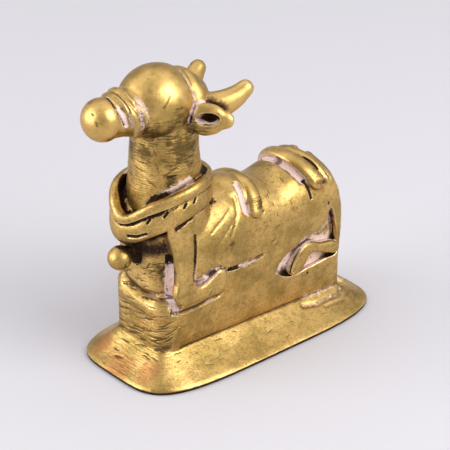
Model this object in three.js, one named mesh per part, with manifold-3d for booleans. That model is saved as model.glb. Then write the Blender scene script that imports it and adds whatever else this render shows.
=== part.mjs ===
// A small cast brass bull lying on a plinth with a flared foot, about 70 mm long and 71 mm high.
// Millimetres, +Z up. The origin is the centre of the foot's underside, and the bull faces -X.
// The figure was built up in wax, strip on core, and cast in one pour, so it is one solid.
import * as THREE from "three";
import { mergeVertices } from "three/addons/utils/BufferGeometryUtils.js";
import Module from "manifold-3d";

const wasm = await Module();
wasm.setup();

// Foot: a boat-shaped plate with a thin rim, rising in a hollow flare to the plinth's wall.
const footLength = 70;
const footWidth = 35.4;
const footSquareness = 4.2; // 2 is an ellipse, larger is squarer
const footTaper = 0.03; // how much wider the foot is at the tail than at the front, as a share
const rimThickness = 1.1;
const rimEasing = 0.4;
const flareReachAlong = 7.1; // from the rim in to the plinth's wall
const flareReachAcross = 8.4;
const flareRiseFront = 6.2; // from the rim up to the crease under the plinth's wall
const flareRiseRear = 3.9;
const flareSag = 0.5;
const flareOverlap = 0.2; // how far the flare runs on inside the plinth's wall
const flareTopSquareness = 2 * footSquareness;

// Plinth: a block with straight walls and rounded ends under the lying bull.
const plinthLength = footLength - 2 * flareReachAlong;
const plinthWidth = footWidth - 2 * flareReachAcross;
const plinthFrontCorner = 4.6;
const plinthRearCorner = 3.2;
const plinthTop = 21;
const plinthTopEasing = 2;

// The bull's places and sizes are hundredths of its height above the plinth. Lengths and widths
// follow the plinth too, so that the flanks and the rump stay flush with its walls.
const bullHeight = 50;
const lengthRatio = 1.116; // the body's length over its height, as the numbers below draw it
const widthRatio = 0.372;
const share = bullHeight / 100;
const alongShare = plinthLength / (100 * lengthRatio);
const acrossShare = plinthWidth / (100 * widthRatio);

// How finely round forms are cut.
const outlineSides = 36;
const bodySides = 28;
const limbSides = 8;

const at = (x, y, z) => new THREE.Vector3(x * alongShare, y * acrossShare, plinthTop + z * share);
const mix = THREE.MathUtils.lerp;
const radians = THREE.MathUtils.degToRad;

// A value that runs smoothly through pairs of place and value.
function smooth(pairs) {
  const places = new Float32Array(pairs.map(([place]) => place));
  const values = new Float32Array(pairs.map(([, value]) => value));
  const between = new THREE.CubicInterpolant(places, values, 1);
  return (place) => between.evaluate(place)[0];
}

// A point on a superellipse: power 2 is an ellipse, larger is squarer.
function roundedPoint(angle, halfWidth, halfHeight, power) {
  const bend = (value) => Math.sign(value) * Math.abs(value) ** (2 / power);
  return [halfWidth * bend(Math.cos(angle)), halfHeight * bend(Math.sin(angle))];
}

// A closed skin over rings of equal count, with a fan from each end ring to its pole.
function skin(rings, firstPole, lastPole) {
  const sides = rings[0].length;
  const points = [...rings.flat(), firstPole, lastPole];
  const first = points.length - 2;
  const last = points.length - 1;
  const lastRing = (rings.length - 1) * sides;
  const faces = [];
  for (let side = 0; side < sides; side++) {
    const next = (side + 1) % sides;
    for (let ring = 0; ring < rings.length - 1; ring++) {
      const near = ring * sides;
      const far = near + sides;
      faces.push(near + side, near + next, far + next, near + side, far + next, far + side);
    }
    faces.push(first, next, side, last, lastRing + side, lastRing + next);
  }
  const geometry = new THREE.BufferGeometry().setFromPoints(points);
  geometry.setIndex(faces);
  return geometry;
}

// A closed three.js geometry as a solid with its faces turned out.
function solid(geometry) {
  const bare = geometry.clone();
  bare.deleteAttribute("normal");
  bare.deleteAttribute("uv");
  const merged = mergeVertices(bare, 1e-4);
  const vertProperties = merged.attributes.position.array;
  const triVerts = new Uint32Array(merged.index.array);
  const made = new wasm.Manifold(new wasm.Mesh({ numProp: 3, vertProperties, triVerts }));
  if (made.volume() > 0) return made;
  triVerts.reverse();
  return new wasm.Manifold(new wasm.Mesh({ numProp: 3, vertProperties, triVerts }));
}

// An ellipsoid of three half sizes, in hundredths of the bull's height.
function lump(centre, [long, wide, high], sides = 18) {
  const ball = new THREE.SphereGeometry(1, sides, Math.round(sides * 0.6));
  ball.rotateX(Math.PI / 2);
  ball.scale(long * alongShare, wide * acrossShare, high * share);
  ball.translate(centre.x, centre.y, centre.z);
  return solid(ball);
}

const station = (place, wide, thick, facing) => ({
  place,
  wide,
  thick,
  facing: new THREE.Vector3(...facing),
});

// A strip of wax laid along a path. Each station has its place, its half width, its half thickness
// and the way its broad side faces. The section's squareness runs from power to lastPower.
// An open strip has round ends, endRound times the half width long.
function strip(stations, options = {}) {
  const { steps = 16, sides = limbSides, endRound = 1, closed = false } = options;
  const { power = 2.4, lastPower = power } = options;
  const curve = (points, kind) => new THREE.CatmullRomCurve3(points, closed, kind);
  const path = curve(stations.map(({ place }) => place), "centripetal");
  const sizes = curve(stations.map(({ wide, thick }) => new THREE.Vector3(wide, thick, 0)), "catmullrom");
  const facings = curve(stations.map(({ facing }) => facing), "catmullrom");
  const ringAt = (position, along, shrink) => {
    const tangent = path.getTangent(position);
    const facing = facings.getPoint(position).normalize();
    const across = new THREE.Vector3().crossVectors(tangent, facing).normalize();
    const outward = new THREE.Vector3().crossVectors(across, tangent).normalize();
    const size = sizes.getPoint(position).multiplyScalar(share);
    const middle = path.getPoint(position).addScaledVector(tangent, along * size.x * endRound);
    return Array.from({ length: sides }, (_, side) => {
      const angle = (2 * Math.PI * side) / sides;
      const squareness = mix(power, lastPower, position);
      const [w, t] = roundedPoint(angle, size.x * shrink, size.y * shrink, squareness);
      return middle.clone().addScaledVector(across, w).addScaledVector(outward, t);
    });
  };
  if (closed) {
    const loop = Array.from({ length: steps }, (_, step) => ringAt(step / steps, 0, 1));
    return solid(hoop(loop));
  }
  const capTurns = [30, 62].map(radians);
  const rings = [
    ...capTurns.map((turn) => ringAt(0, -Math.cos(turn), Math.sin(turn))),
    ...Array.from({ length: steps + 1 }, (_, step) => ringAt(step / steps, 0, 1)),
    ...capTurns.toReversed().map((turn) => ringAt(1, Math.cos(turn), Math.sin(turn))),
  ];
  const pole = (position, way) => {
    const reach = sizes.getPoint(position).x * share * endRound * way;
    return path.getPoint(position).addScaledVector(path.getTangent(position), reach);
  };
  return solid(skin(rings, pole(0, -1), pole(1, 1)));
}

// A closed skin over rings that run round and meet themselves.
function hoop(rings) {
  const sides = rings[0].length;
  const faces = rings.flatMap((_, ring) =>
    rings[0].flatMap((_, side) => {
      const next = (side + 1) % sides;
      const near = ring * sides;
      const far = ((ring + 1) % rings.length) * sides;
      return [near + side, near + next, far + next, near + side, far + next, far + side];
    }),
  );
  const geometry = new THREE.BufferGeometry().setFromPoints(rings.flat());
  geometry.setIndex(faces);
  return geometry;
}

// A flat shape standing on the flank, from one distance off the middle plane out to another.
// Its top may lean in towards the neck, by some degrees.
function flankShape(outline, { inner, outer, easing, lean = 0 }) {
  const points = outline.map(([x, z]) => new THREE.Vector2(x * alongShare, z * share));
  const curve = new THREE.SplineCurve([...points, points[0]]);
  const shape = new THREE.Shape(curve.getPoints(points.length * 2).slice(0, -1));
  const round = easing * share;
  const plate = new THREE.ExtrudeGeometry(shape, {
    depth: (outer - inner) * acrossShare - round,
    bevelSize: round,
    bevelThickness: round,
    bevelOffset: -round,
    bevelSegments: 1,
  });
  plate.rotateX(Math.PI / 2 - radians(lean));
  plate.translate(0, -inner * acrossShare, plinthTop);
  return solid(plate);
}

// The other side's copy of a solid, mirrored in the bull's middle plane.
function otherSide(made) {
  const { numProp, vertProperties, triVerts } = made.getMesh();
  for (let y = 1; y < vertProperties.length; y += numProp) {
    vertProperties[y] = -vertProperties[y];
  }
  triVerts.reverse();
  return new wasm.Manifold(new wasm.Mesh({ numProp, vertProperties, triVerts }));
}

// The foot: outlines from the underside up over the rim and the flare to inside the plinth's wall.
function foot() {
  const outlineAt = (climb, height, inset = 0) =>
    Array.from({ length: outlineSides }, (_, side) => {
      const angle = (2 * Math.PI * side) / outlineSides;
      const halfLength = mix(footLength / 2 - inset, plinthLength / 2 - flareOverlap, climb);
      const halfWidth = mix(footWidth / 2 - inset, plinthWidth / 2 - flareOverlap, climb);
      const squareness = mix(footSquareness, flareTopSquareness, climb);
      const [x, y] = roundedPoint(angle, halfLength, halfWidth, squareness);
      const rise = mix(flareRiseFront, flareRiseRear, 0.5 + x / footLength);
      return new THREE.Vector3(x, y * (1 + (footTaper * x) / footLength), height(rise));
    });
  const flareRings = 4;
  const rings = [
    outlineAt(0, () => 0, rimEasing),
    outlineAt(0, () => rimEasing),
    outlineAt(0, () => rimThickness),
  ];
  for (let ring = 1; ring <= flareRings; ring++) {
    const climb = ring / flareRings;
    const sag = flareSag * Math.sin(Math.PI * climb);
    rings.push(outlineAt(climb, (rise) => rimThickness + rise * climb - sag));
  }
  return solid(skin(rings, new THREE.Vector3(), new THREE.Vector3(0, 0, rimThickness + flareRiseRear)));
}

// The plinth block, from inside the foot up to an eased top edge.
function plinth() {
  const cornerSteps = 6;
  const ringAt = (inset, height) => {
    const corners = [
      [1, 1, plinthRearCorner],
      [-1, 1, plinthFrontCorner],
      [-1, -1, plinthFrontCorner],
      [1, -1, plinthRearCorner],
    ];
    return corners.flatMap(([endways, sideways, corner], quarter) =>
      Array.from({ length: cornerSteps + 1 }, (_, step) => {
        const turn = (Math.PI / 2) * (quarter + step / cornerSteps);
        const x = endways * (plinthLength / 2 - corner) + (corner - inset) * Math.cos(turn);
        const y = sideways * (plinthWidth / 2 - corner) + (corner - inset) * Math.sin(turn);
        return new THREE.Vector3(x, y, height);
      }),
    );
  };
  const rings = [ringAt(0, rimThickness)];
  const easingRings = 4;
  for (let ring = 0; ring <= easingRings; ring++) {
    const turn = (Math.PI / 2) * (ring / easingRings);
    const inset = plinthTopEasing * (1 - Math.cos(turn));
    rings.push(ringAt(inset, plinthTop - plinthTopEasing * (1 - Math.sin(turn))));
  }
  return solid(skin(rings, new THREE.Vector3(0, 0, rimThickness), new THREE.Vector3(0, 0, plinthTop)));
}

// The body's cross-section at a place along it: straight flanks below, a round back above.
const backHeight = smooth([
  [-50, 20],
  [-42, 30],
  [-20, 35],
  [-4, 35],
  [6, 33.4],
  [17, 31],
  [29, 33.6],
  [40, 34],
  [48, 30.4],
  [53, 25],
  [56, 17.5],
]);
const flankWidth = smooth([
  [-50, 9],
  [-45, 16.4],
  [-36, 18.6],
  [0, 18.8],
  [30, 19.2],
  [46, 19.4],
  [52, 18.4],
  [56, 14.4],
]);
const flankTop = 13; // where the straight flank turns into the round back
const flankBottom = -12; // buried in the plinth
const backSquareness = 2.3;
const flankSquareness = 9;

// A point of the body's surface: lean 0 is the ridge of the back, a quarter turn is the flank.
function onBody(x, lean, proud = 0) {
  const angle = Math.PI / 2 - lean;
  const over = Math.sin(angle) >= 0;
  const high = over ? backHeight(x) - flankTop : flankTop - flankBottom;
  const squareness = over ? backSquareness : flankSquareness;
  const [y, z] = roundedPoint(angle, flankWidth(x) + proud, high + proud, squareness);
  return at(x, y, flankTop + z);
}

function body() {
  const places = [-50, -48, -44, -36, -26, -14, -4, 4, 11, 18, 25, 33, 40, 45, 49, 52, 54.4, 56];
  const rings = places.map((x) =>
    Array.from({ length: bodySides }, (_, side) => onBody(x, (2 * Math.PI * side) / bodySides)),
  );
  return solid(skin(rings, at(-51, 0, 4), at(57, 0, 4)));
}

// Neck column, widening downwards into the shoulders and the breast over the front of the plinth.
function neck() {
  const sideways = [0, 1, 0];
  const stations = [
    station(at(-38.4, 0, -10), 17.6, 16, sideways),
    station(at(-37.6, 0, 0), 18.4, 17.4, sideways),
    station(at(-37.4, 0, 12), 18.6, 17.8, sideways),
    station(at(-37.4, 0, 32), 18, 17.2, sideways),
    station(at(-37.8, 0, 48), 16.2, 15.6, sideways),
    station(at(-38, 0, 62), 15.2, 15, sideways),
    station(at(-37.4, 0, 78), 14.6, 13.6, sideways),
  ];
  return strip(stations, { steps: 8, sides: 22, power: 3.2, lastPower: 2, endRound: 0.2 });
}

// Skull and poll: two round lumps run together.
const skull = () => lump(at(-42, 0, 83.4), [17.6, 16, 16.4], 24);
const poll = () => lump(at(-28, 0, 80), [12.4, 12, 12.6]);

// Snout: sections from the jaw forward, drawn in behind the round muzzle.
function snout() {
  const sections = [
    // place along the snout, height, half width, half height, all in hundredths
    [-40, 80, 12, 13],
    [-50, 81.2, 10.6, 11.6],
    [-57, 82.2, 9.8, 10.4],
    [-63, 82.8, 9.2, 9.4],
    [-70, 83, 8.8, 8.9],
  ];
  const sides = 20;
  const rings = sections.map(([x, z, wide, high]) =>
    Array.from({ length: sides }, (_, side) => {
      const angle = (2 * Math.PI * side) / sides;
      return at(x, wide * Math.cos(angle), z + high * Math.sin(angle));
    }),
  );
  return solid(skin(rings, at(-40, 0, 80), at(-70, 0, 83)));
}

const muzzle = () => lump(at(-71, 0, 83), [8.6, 9.4, 9.4], 16);

// Halter: two bands side by side round the snout, leaning forward at the top.
function halterBand(x, z) {
  const lean = radians(24);
  const reachUp = 10.3;
  const reachAcross = 10.2;
  const turns = 10;
  const stations = Array.from({ length: turns }, (_, step) => {
    const angle = (2 * Math.PI * step) / turns;
    const up = Math.cos(angle);
    const outward = [-Math.sin(lean) * up, Math.sin(angle), Math.cos(lean) * up];
    const place = at(x + reachUp * outward[0], reachAcross * outward[1], z + reachUp * outward[2]);
    return station(place, 1.75, 1.5, outward);
  });
  return strip(stations, { steps: 20, sides: 6, power: 2.2, closed: true });
}

const halter = () => halterBand(-60.6, 82.2).add(halterBand(-57.2, 83.4));

// Headband: a strip over the back of the skull, from above one ear to above the other.
function headband() {
  const reach = 12.7;
  const stations = [-105, -60, -20, 20, 60, 105].map((degrees) => {
    const lean = radians(degrees);
    const outward = [0, Math.sin(lean), Math.cos(lean)];
    return station(at(-28.4, reach * outward[1], 80.6 + reach * outward[2]), 3.2, 1.8, outward);
  });
  return strip(stations, { steps: 12, sides: 6, power: 2.2 });
}

// Horn: swept back, out and up to a blunt tip.
function horn() {
  const out = [0, -1, 0];
  const stations = [
    station(at(-24, -7, 77.6), 6.2, 6, out),
    station(at(-16, -11.4, 78.4), 6, 5.6, out),
    station(at(-10, -14, 80.8), 5, 4.8, out),
    station(at(-5.4, -15.6, 84), 3.9, 3.8, out),
  ];
  return strip(stations, { steps: 5, power: 2 });
}

// Ear: a leaf standing out and back from the head, with a hollow pressed into its open side.
function ear() {
  const open = [-0.72, -0.62, 0.3];
  const leaf = strip(
    [
      station(at(-34.4, -12, 77), 5.2, 3, open),
      station(at(-30.4, -17, 77.2), 7, 3.2, open),
      station(at(-26.6, -21, 77.2), 6.2, 2.8, open),
      station(at(-23.9, -23.8, 77), 3.8, 2.2, open),
    ],
    { steps: 6, sides: 10, power: 2 },
  );
  const hollow = lump(at(-31.2, -20.4, 78.6), [4.6, 4.8, 4], 10);
  return leaf.subtract(hollow);
}

// A collar band lies round the neck: it dips to a V at the front and climbs to the nape.
// Heights and half heights are given at each eighth of a turn, from the front by the left flank.
function collarBand(heights, halfHeights) {
  const centre = -40.2;
  const reachAlong = 21.2;
  const reachAcross = 18.8;
  const facingUp = 0.12;
  const round = (values) => smooth([...values, values[0]].map((value, eighth) => [45 * eighth, value]));
  const heightAt = round(heights);
  const halfHeightAt = round(halfHeights);
  const turns = 16;
  const stations = Array.from({ length: turns }, (_, step) => {
    const degrees = (360 * step) / turns;
    const turn = radians(degrees);
    const outward = [-Math.cos(turn), -Math.sin(turn), facingUp];
    const place = at(centre + reachAlong * outward[0], reachAcross * outward[1], heightAt(degrees));
    return station(place, halfHeightAt(degrees), 2.4, outward);
  });
  return strip(stations, { steps: 26, sides: 6, power: 2.6, closed: true });
}

const collar = () =>
  collarBand([34, 42.6, 48.6, 48, 46, 45, 43.4, 41], [2.2, 2.8, 3.6, 3.4, 3, 3, 3, 2.6]).add(
    collarBand([27.8, 34, 39.6, 41, 40, 38.6, 36, 32.6], [4.4, 4.2, 4, 4, 4.2, 4.6, 4.6, 4.4]),
  );

// Bell hanging at the front of the collar.
const bell = () => {
  const up = [0, 0, 1];
  const ends = [station(at(-52, 0, 20), 3, 3, up), station(at(-62, 0, 16.4), 3, 3, up)];
  const shank = strip(ends, { steps: 2 });
  return shank.add(lump(at(-63.8, 0, 16), [5.5, 5.5, 5.5], 14));
};

// Foreleg folded flat against the side: the upper leg down to the knee, and the hoof turned back.
const foreleg = () =>
  flankShape(
    [
      [-49.4, 36],
      [-48.8, 17],
      [-48.2, 5.6],
      [-50, -3.4],
      [-47, -7],
      [-36.4, -8.6],
      [-23.6, -7.6],
      [-23, -3],
      [-26, -0.8],
      [-40, -2.8],
      [-39, 13],
      [-37.6, 26],
      [-38.4, 40],
    ],
    { inner: 14, outer: 22, easing: 1.6, lean: 5 },
  );

// Hind leg: the shank comes round the rump and the hoof points down and forward, in a hollow.
const hindLeg = () =>
  flankShape(
    [
      [51, -9],
      [39, -4.4],
      [31, -1.4],
      [26, -3],
      [22.6, -7],
      [19.6, -14],
      [23.8, -15.8],
      [29.2, -12.4],
      [32.6, -8.6],
      [43.2, -11.4],
      [51, -12.6],
    ],
    { inner: 14, outer: 20.6, easing: 1.6 },
  );

const legHollow = () =>
  flankShape(
    [
      [45.4, 11],
      [43, 4],
      [34, 1.2],
      [24, -1.6],
      [15, -6.2],
      [13, -10.4],
      [20.6, -16.2],
      [30.6, -16],
      [44, -15],
      [52, -13.6],
      [51, -6],
      [48.6, 3.4],
    ],
    { inner: 15.8, outer: 26, easing: 0.6 },
  );

// Crease where the belly hangs over the plinth.
function bellyCrease() {
  const places = [
    [-37, 5.4],
    [-28, 3.2],
    [-16, 1.2],
    [-8, 0.6],
    [4, 1.6],
  ];
  const stations = places.map(([x, z]) => station(at(x, -19.4, z), 1.1, 1.6, [0, -1, 0]));
  return strip(stations, { steps: 8, sides: 6, power: 2 });
}

// A strip laid over the back and down both flanks, following the body's surface.
function backStrap({ top, low, end, wide, thick, proud = 0 }) {
  const stations = [-1, -0.75, -0.45, -0.15, 0.15, 0.45, 0.75, 1].map((across) => {
    const lean = radians(end) * across;
    const x = mix(top, low, across ** 2);
    return station(onBody(x, lean, proud), wide, thick, [0, Math.sin(lean), Math.cos(lean)]);
  });
  return strip(stations, { steps: 14, sides: 6, power: 2.2 });
}

// Hump: a dome behind the collar, closed off by one strap.
const hump = () =>
  backStrap({ top: 3, low: 0, end: 62, wide: 3.6, thick: 2.4, proud: 0.3 }).add(
    lump(at(-5, 0, 26), [13, 15, 11.4], 16),
  );

// A thick and a thin roll across the rump, side by side.
const rumpRolls = () =>
  backStrap({ top: 33.6, low: 37.6, end: 54, wide: 4.2, thick: 3, proud: 0.6 }).add(
    backStrap({ top: 40.6, low: 43.6, end: 52, wide: 2.6, thick: 2.6, proud: 0.3 }),
  );

// Tail: from the rump down the rear corner to the hind leg.
function tail() {
  const stations = [
    station(at(43.6, -6, 33), 3.6, 2.2, [0.3, -0.3, 0.9]),
    station(at(49, -12.6, 24.6), 3.6, 2.2, [0.6, -0.5, 0.5]),
    station(at(52.4, -15.6, 12), 3.6, 2.2, [0.7, -0.7, 0.1]),
    station(at(53, -15.8, 0), 3.6, 2.2, [0.7, -0.7, 0]),
    station(at(52.4, -15.8, -11), 3.2, 2.2, [0.7, -0.7, 0]),
  ];
  return strip(stations, { steps: 8 });
}

const head = () => wasm.Manifold.union([skull(), poll(), snout(), muzzle(), halter(), headband()]);
const middleForms = [foot, plinth, body, hump, rumpRolls, neck, head, collar, bell];
const sideForms = [ear, horn, foreleg, hindLeg, tail];
const sideCuts = [legHollow, bellyCrease];
const bothSides = (makers) => makers.flatMap((make) => [make(), otherSide(make())]);

const core = wasm.Manifold.union(middleForms.map((make) => make()));
const hollowed = core.subtract(wasm.Manifold.union(bothSides(sideCuts)));
const casting = wasm.Manifold.union([hollowed, ...bothSides(sideForms)]);

const shape = casting.getMesh();
const geometry = new THREE.BufferGeometry();
geometry.setAttribute("position", new THREE.BufferAttribute(new Float32Array(shape.vertProperties), 3));
geometry.setIndex(new THREE.BufferAttribute(shape.triVerts, 1));
geometry.computeVertexNormals();

const brass = new THREE.MeshStandardMaterial({ color: 0xb8954f, metalness: 1, roughness: 0.34 });
const figure = new THREE.Mesh(geometry, brass);
figure.name = "nandi_bull_casting";

const part = new THREE.Group();
part.add(figure);
export default part;
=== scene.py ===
import math
from types import SimpleNamespace

import bmesh
import bpy
import numpy as np
from mathutils import Matrix, Vector
from mathutils.bvhtree import BVHTree


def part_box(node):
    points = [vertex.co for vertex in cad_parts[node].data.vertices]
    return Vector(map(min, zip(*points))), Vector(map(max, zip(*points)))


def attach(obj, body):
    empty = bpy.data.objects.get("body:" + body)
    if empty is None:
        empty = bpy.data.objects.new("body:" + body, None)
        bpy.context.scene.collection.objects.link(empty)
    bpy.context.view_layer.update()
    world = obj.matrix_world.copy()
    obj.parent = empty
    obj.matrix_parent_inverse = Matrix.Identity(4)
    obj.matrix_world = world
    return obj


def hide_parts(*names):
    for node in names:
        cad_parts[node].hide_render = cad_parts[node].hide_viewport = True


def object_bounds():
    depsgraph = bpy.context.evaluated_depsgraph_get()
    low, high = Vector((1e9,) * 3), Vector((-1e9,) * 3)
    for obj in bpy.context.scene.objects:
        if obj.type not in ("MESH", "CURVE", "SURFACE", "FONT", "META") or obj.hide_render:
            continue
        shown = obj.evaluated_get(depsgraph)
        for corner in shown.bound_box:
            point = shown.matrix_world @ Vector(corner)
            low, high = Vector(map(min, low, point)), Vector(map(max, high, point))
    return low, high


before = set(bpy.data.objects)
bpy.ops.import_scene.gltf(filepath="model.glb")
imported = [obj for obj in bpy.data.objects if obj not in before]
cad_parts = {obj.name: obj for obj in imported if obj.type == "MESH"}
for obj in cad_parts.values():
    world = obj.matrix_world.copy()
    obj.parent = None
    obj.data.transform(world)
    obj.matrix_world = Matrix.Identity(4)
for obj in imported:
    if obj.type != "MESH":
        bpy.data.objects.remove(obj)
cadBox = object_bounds()
castingNode = "nandi_bull_casting"
millimetre = 0.001
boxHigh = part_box(castingNode)[1] / millimetre

# The foot, the plinth and the bull's height above it, all in millimetres.
foot = {
    "length": 2 * boxHigh.x,
    "width": 2 * boxHigh.y,
    "squareness": 4.2,
    "taper": 0.03,  # wider towards the tail
    "rim": 1.1,
    "rimRound": 0.5,
    "reachAlong": 7.1,  # from the rim in to the plinth's wall
    "reachAcross": 8.4,
    "riseFront": 6.2,  # from the rim up to the crease under the wall
    "riseRear": 3.9,
    "sag": 0.5,
    "tuck": 0.2,  # the flare's last outline lies this far inside the plinth's wall
    "rimEase": 0.2,  # the rim's edge turns in over this height
    "sides": 200,
    "flareRings": 12,
}
plinth = {
    "length": foot["length"] - 2 * foot["reachAlong"],
    "width": foot["width"] - 2 * foot["reachAcross"],
    "frontCorner": 4.6,
    "rearCorner": 3.2,
    "top": 21.0,
    "easing": 2.0,
}
skullTop = 99.8  # in hundredths of the bull's height
bullHeight = 100 * (boxHigh.z - plinth["top"]) / skullTop
share = bullHeight / 100


def at(x, y, z):
    return Vector((x * share, y * share, plinth["top"] + z * share))


def mix(low, high, part):
    return low + (high - low) * part


# A value that runs smoothly through pairs of place and value.
def smooth(pairs):
    places = [place for place, _ in pairs]
    values = [value for _, value in pairs]
    slopes = np.gradient(np.array(values, float), np.array(places, float))

    def evaluate(place):
        if place <= places[0]:
            return values[0]
        if place >= places[-1]:
            return values[-1]
        step = next(i for i in range(len(places) - 1) if place <= places[i + 1])
        gap = places[step + 1] - places[step]
        t = (place - places[step]) / gap
        return (
            (2 * t**3 - 3 * t**2 + 1) * values[step]
            + (t**3 - 2 * t**2 + t) * gap * slopes[step]
            + (3 * t**2 - 2 * t**3) * values[step + 1]
            + (t**3 - t**2) * gap * slopes[step + 1]
        )

    return evaluate


# A point on a superellipse: power 2 is an ellipse, larger is squarer.
def roundedPoint(angle, halfWidth, halfHeight, power):
    def bend(value):
        return math.copysign(abs(value) ** (2 / power), value)

    return halfWidth * bend(math.cos(angle)), halfHeight * bend(math.sin(angle))


# A closed skin over rings of equal count, with a fan from each end ring to its pole.
def skin(name, rings, firstPole, lastPole):
    sides = len(rings[0])
    points = [point for ring in rings for point in ring] + [firstPole, lastPole]
    first, last = len(points) - 2, len(points) - 1
    top = (len(rings) - 1) * sides
    faces = []
    for side in range(sides):
        nextSide = (side + 1) % sides
        faces.append((first, nextSide, side))
        faces.append((last, top + side, top + nextSide))
        for near in range(0, top, sides):
            faces.append((near + side, near + nextSide, near + sides + nextSide, near + sides + side))
    mesh = bpy.data.meshes.new(name)
    mesh.from_pydata(points, [], faces)
    turnOutwards(mesh)
    return mesh


def turnOutwards(mesh):
    shell = bmesh.new()
    shell.from_mesh(mesh)
    bmesh.ops.remove_doubles(shell, verts=shell.verts, dist=1e-4)
    bmesh.ops.recalc_face_normals(shell, faces=shell.faces)
    shell.to_mesh(mesh)
    shell.free()


# The other side's copy of a mesh, mirrored in the bull's middle plane.
def otherSide(mesh):
    copy = mesh.copy()
    copy.transform(Matrix.Diagonal((1, -1, 1, 1)))
    turnOutwards(copy)
    return copy


# A value that flows through a node tree. Fields are added, multiplied and mapped as numbers are.
class Field:
    def __init__(self, socket):
        self.socket = socket
        self.tree = socket.id_data
        self.isVector = socket.type in ("VECTOR", "RGBA")

    def apply(self, operation, *others):
        kind = "ShaderNodeVectorMath" if self.isVector else "ShaderNodeMath"
        return addNode(self.tree, kind, dict(enumerate([self, *others])), operation=operation)

    def __add__(self, other):
        return self.apply("ADD", other)

    __radd__ = __add__

    def __sub__(self, other):
        return self.apply("SUBTRACT", other)

    def __mul__(self, other):
        return self.apply("MULTIPLY", other)

    def __truediv__(self, other):
        return self.apply("DIVIDE", other)

    def __rsub__(self, other):
        return addNode(self.tree, "ShaderNodeMath", {0: other, 1: self}, operation="SUBTRACT")

    def __rtruediv__(self, other):
        return addNode(self.tree, "ShaderNodeMath", {0: other, 1: self}, operation="DIVIDE")

    def atLeast(self, other):
        return self.apply("MAXIMUM", other)

    def atMost(self, other):
        return self.apply("MINIMUM", other)

    def below(self, limit):
        return self.apply("LESS_THAN", limit)

    def clamped(self):
        return addNode(self.tree, "ShaderNodeClamp", {"Value": self})

    # The swing about the middle of a noise that runs from 0 to 1.
    def swing(self, amount):
        return (self - 0.5) * amount

    # Runs from one value to another while the field runs between two of its own.
    def mapped(self, fromLow, fromHigh, toLow=0.0, toHigh=1.0, smoothly=True):
        inputs = {"Value": self, "From Min": fromLow, "From Max": fromHigh}
        inputs.update({"To Min": toLow, "To Max": toHigh})
        kind = "SMOOTHSTEP" if smoothly else "LINEAR"
        return addNode(self.tree, "ShaderNodeMapRange", inputs, interpolation_type=kind)

    # The colour that lies this share of the way from the first to the second.
    def between(self, first, second):
        inputs = {"Factor": self, "A": first, "B": second}
        return addNode(self.tree, "ShaderNodeMix", inputs, "Result", data_type="RGBA")

    def scaled(self, factor):
        return addNode(self.tree, "ShaderNodeVectorMath", {0: self, "Scale": factor}, operation="SCALE")

    def dot(self, other):
        inputs = {0: self, 1: other}
        return addNode(self.tree, "ShaderNodeVectorMath", inputs, "Value", operation="DOT_PRODUCT")

    def part(self, axis):
        return addNode(self.tree, "ShaderNodeSeparateXYZ", {"Vector": self}, axis)

    # Another output of the same node.
    def also(self, output):
        return Field(socketOf(self.socket.node.outputs, output))


# The socket of a name or number. Of several with one name, it is the one that the node's settings turn on.
def socketOf(sockets, key):
    turnedOn = [socket for socket in sockets if socket.name == key and socket.enabled]
    return turnedOn[0] if turnedOn else sockets[key]


def setInput(socket, value):
    if isinstance(value, Field):
        socket.id_data.links.new(value.socket, socket)
    else:
        socket.default_value = value


# Adds a node, sets its properties and inputs, and gives back one of its outputs.
def addNode(tree, kind, inputs=None, output=0, **properties):
    node = tree.nodes.new(kind)
    for name, value in properties.items():
        setattr(node, name, value)
    for key, value in (inputs or {}).items():
        setInput(socketOf(node.inputs, key), value)
    return Field(socketOf(node.outputs, output))


# A group of nodes with named inputs, made once and used by a modifier.
def newTree(name, inputs):
    tree = bpy.data.node_groups.new(name, "GeometryNodeTree")
    tree.interface.new_socket("Geometry", in_out="INPUT", socket_type="NodeSocketGeometry")
    for title, kind, value in inputs:
        socket = tree.interface.new_socket(title, in_out="INPUT", socket_type="NodeSocket" + kind)
        if value is not None:
            socket.default_value = value
    tree.interface.new_socket("Geometry", in_out="OUTPUT", socket_type="NodeSocketGeometry")
    return tree, {socket.name: Field(socket) for socket in tree.nodes.new("NodeGroupInput").outputs}


# Ends a tree: instances are made real, and the geometry is handed out with its material.
def endTree(tree, geometry, material):
    geometry = addNode(tree, "GeometryNodeRealizeInstances", {"Geometry": geometry})
    geometry = addNode(tree, "GeometryNodeSetMaterial", {"Geometry": geometry, "Material": material})
    setInput(tree.nodes.new("NodeGroupOutput").inputs[0], geometry)
    return tree


def store(tree, geometry, name, value, dataType="FLOAT"):
    inputs = {"Geometry": geometry, "Name": name, "Value": value}
    return addNode(tree, "GeometryNodeStoreNamedAttribute", inputs, data_type=dataType, domain="POINT")


def stored(tree, name, dataType="FLOAT"):
    return addNode(tree, "GeometryNodeInputNamedAttribute", {"Name": name}, data_type=dataType)


def placeOf(tree):
    return addNode(tree, "GeometryNodeInputPosition")


def move(tree, geometry, offset):
    return addNode(tree, "GeometryNodeSetPosition", {"Geometry": geometry, "Offset": offset})


def addObject(name, data):
    added = bpy.data.objects.new(name, data)
    bpy.context.scene.collection.objects.link(added)
    return added


# The mesh that an object shows once its modifiers have run. The object itself is taken away.
def takeMesh(body):
    graph = bpy.context.evaluated_depsgraph_get()
    mesh = bpy.data.meshes.new_from_object(body.evaluated_get(graph))
    bpy.data.objects.remove(body)
    return mesh


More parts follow.
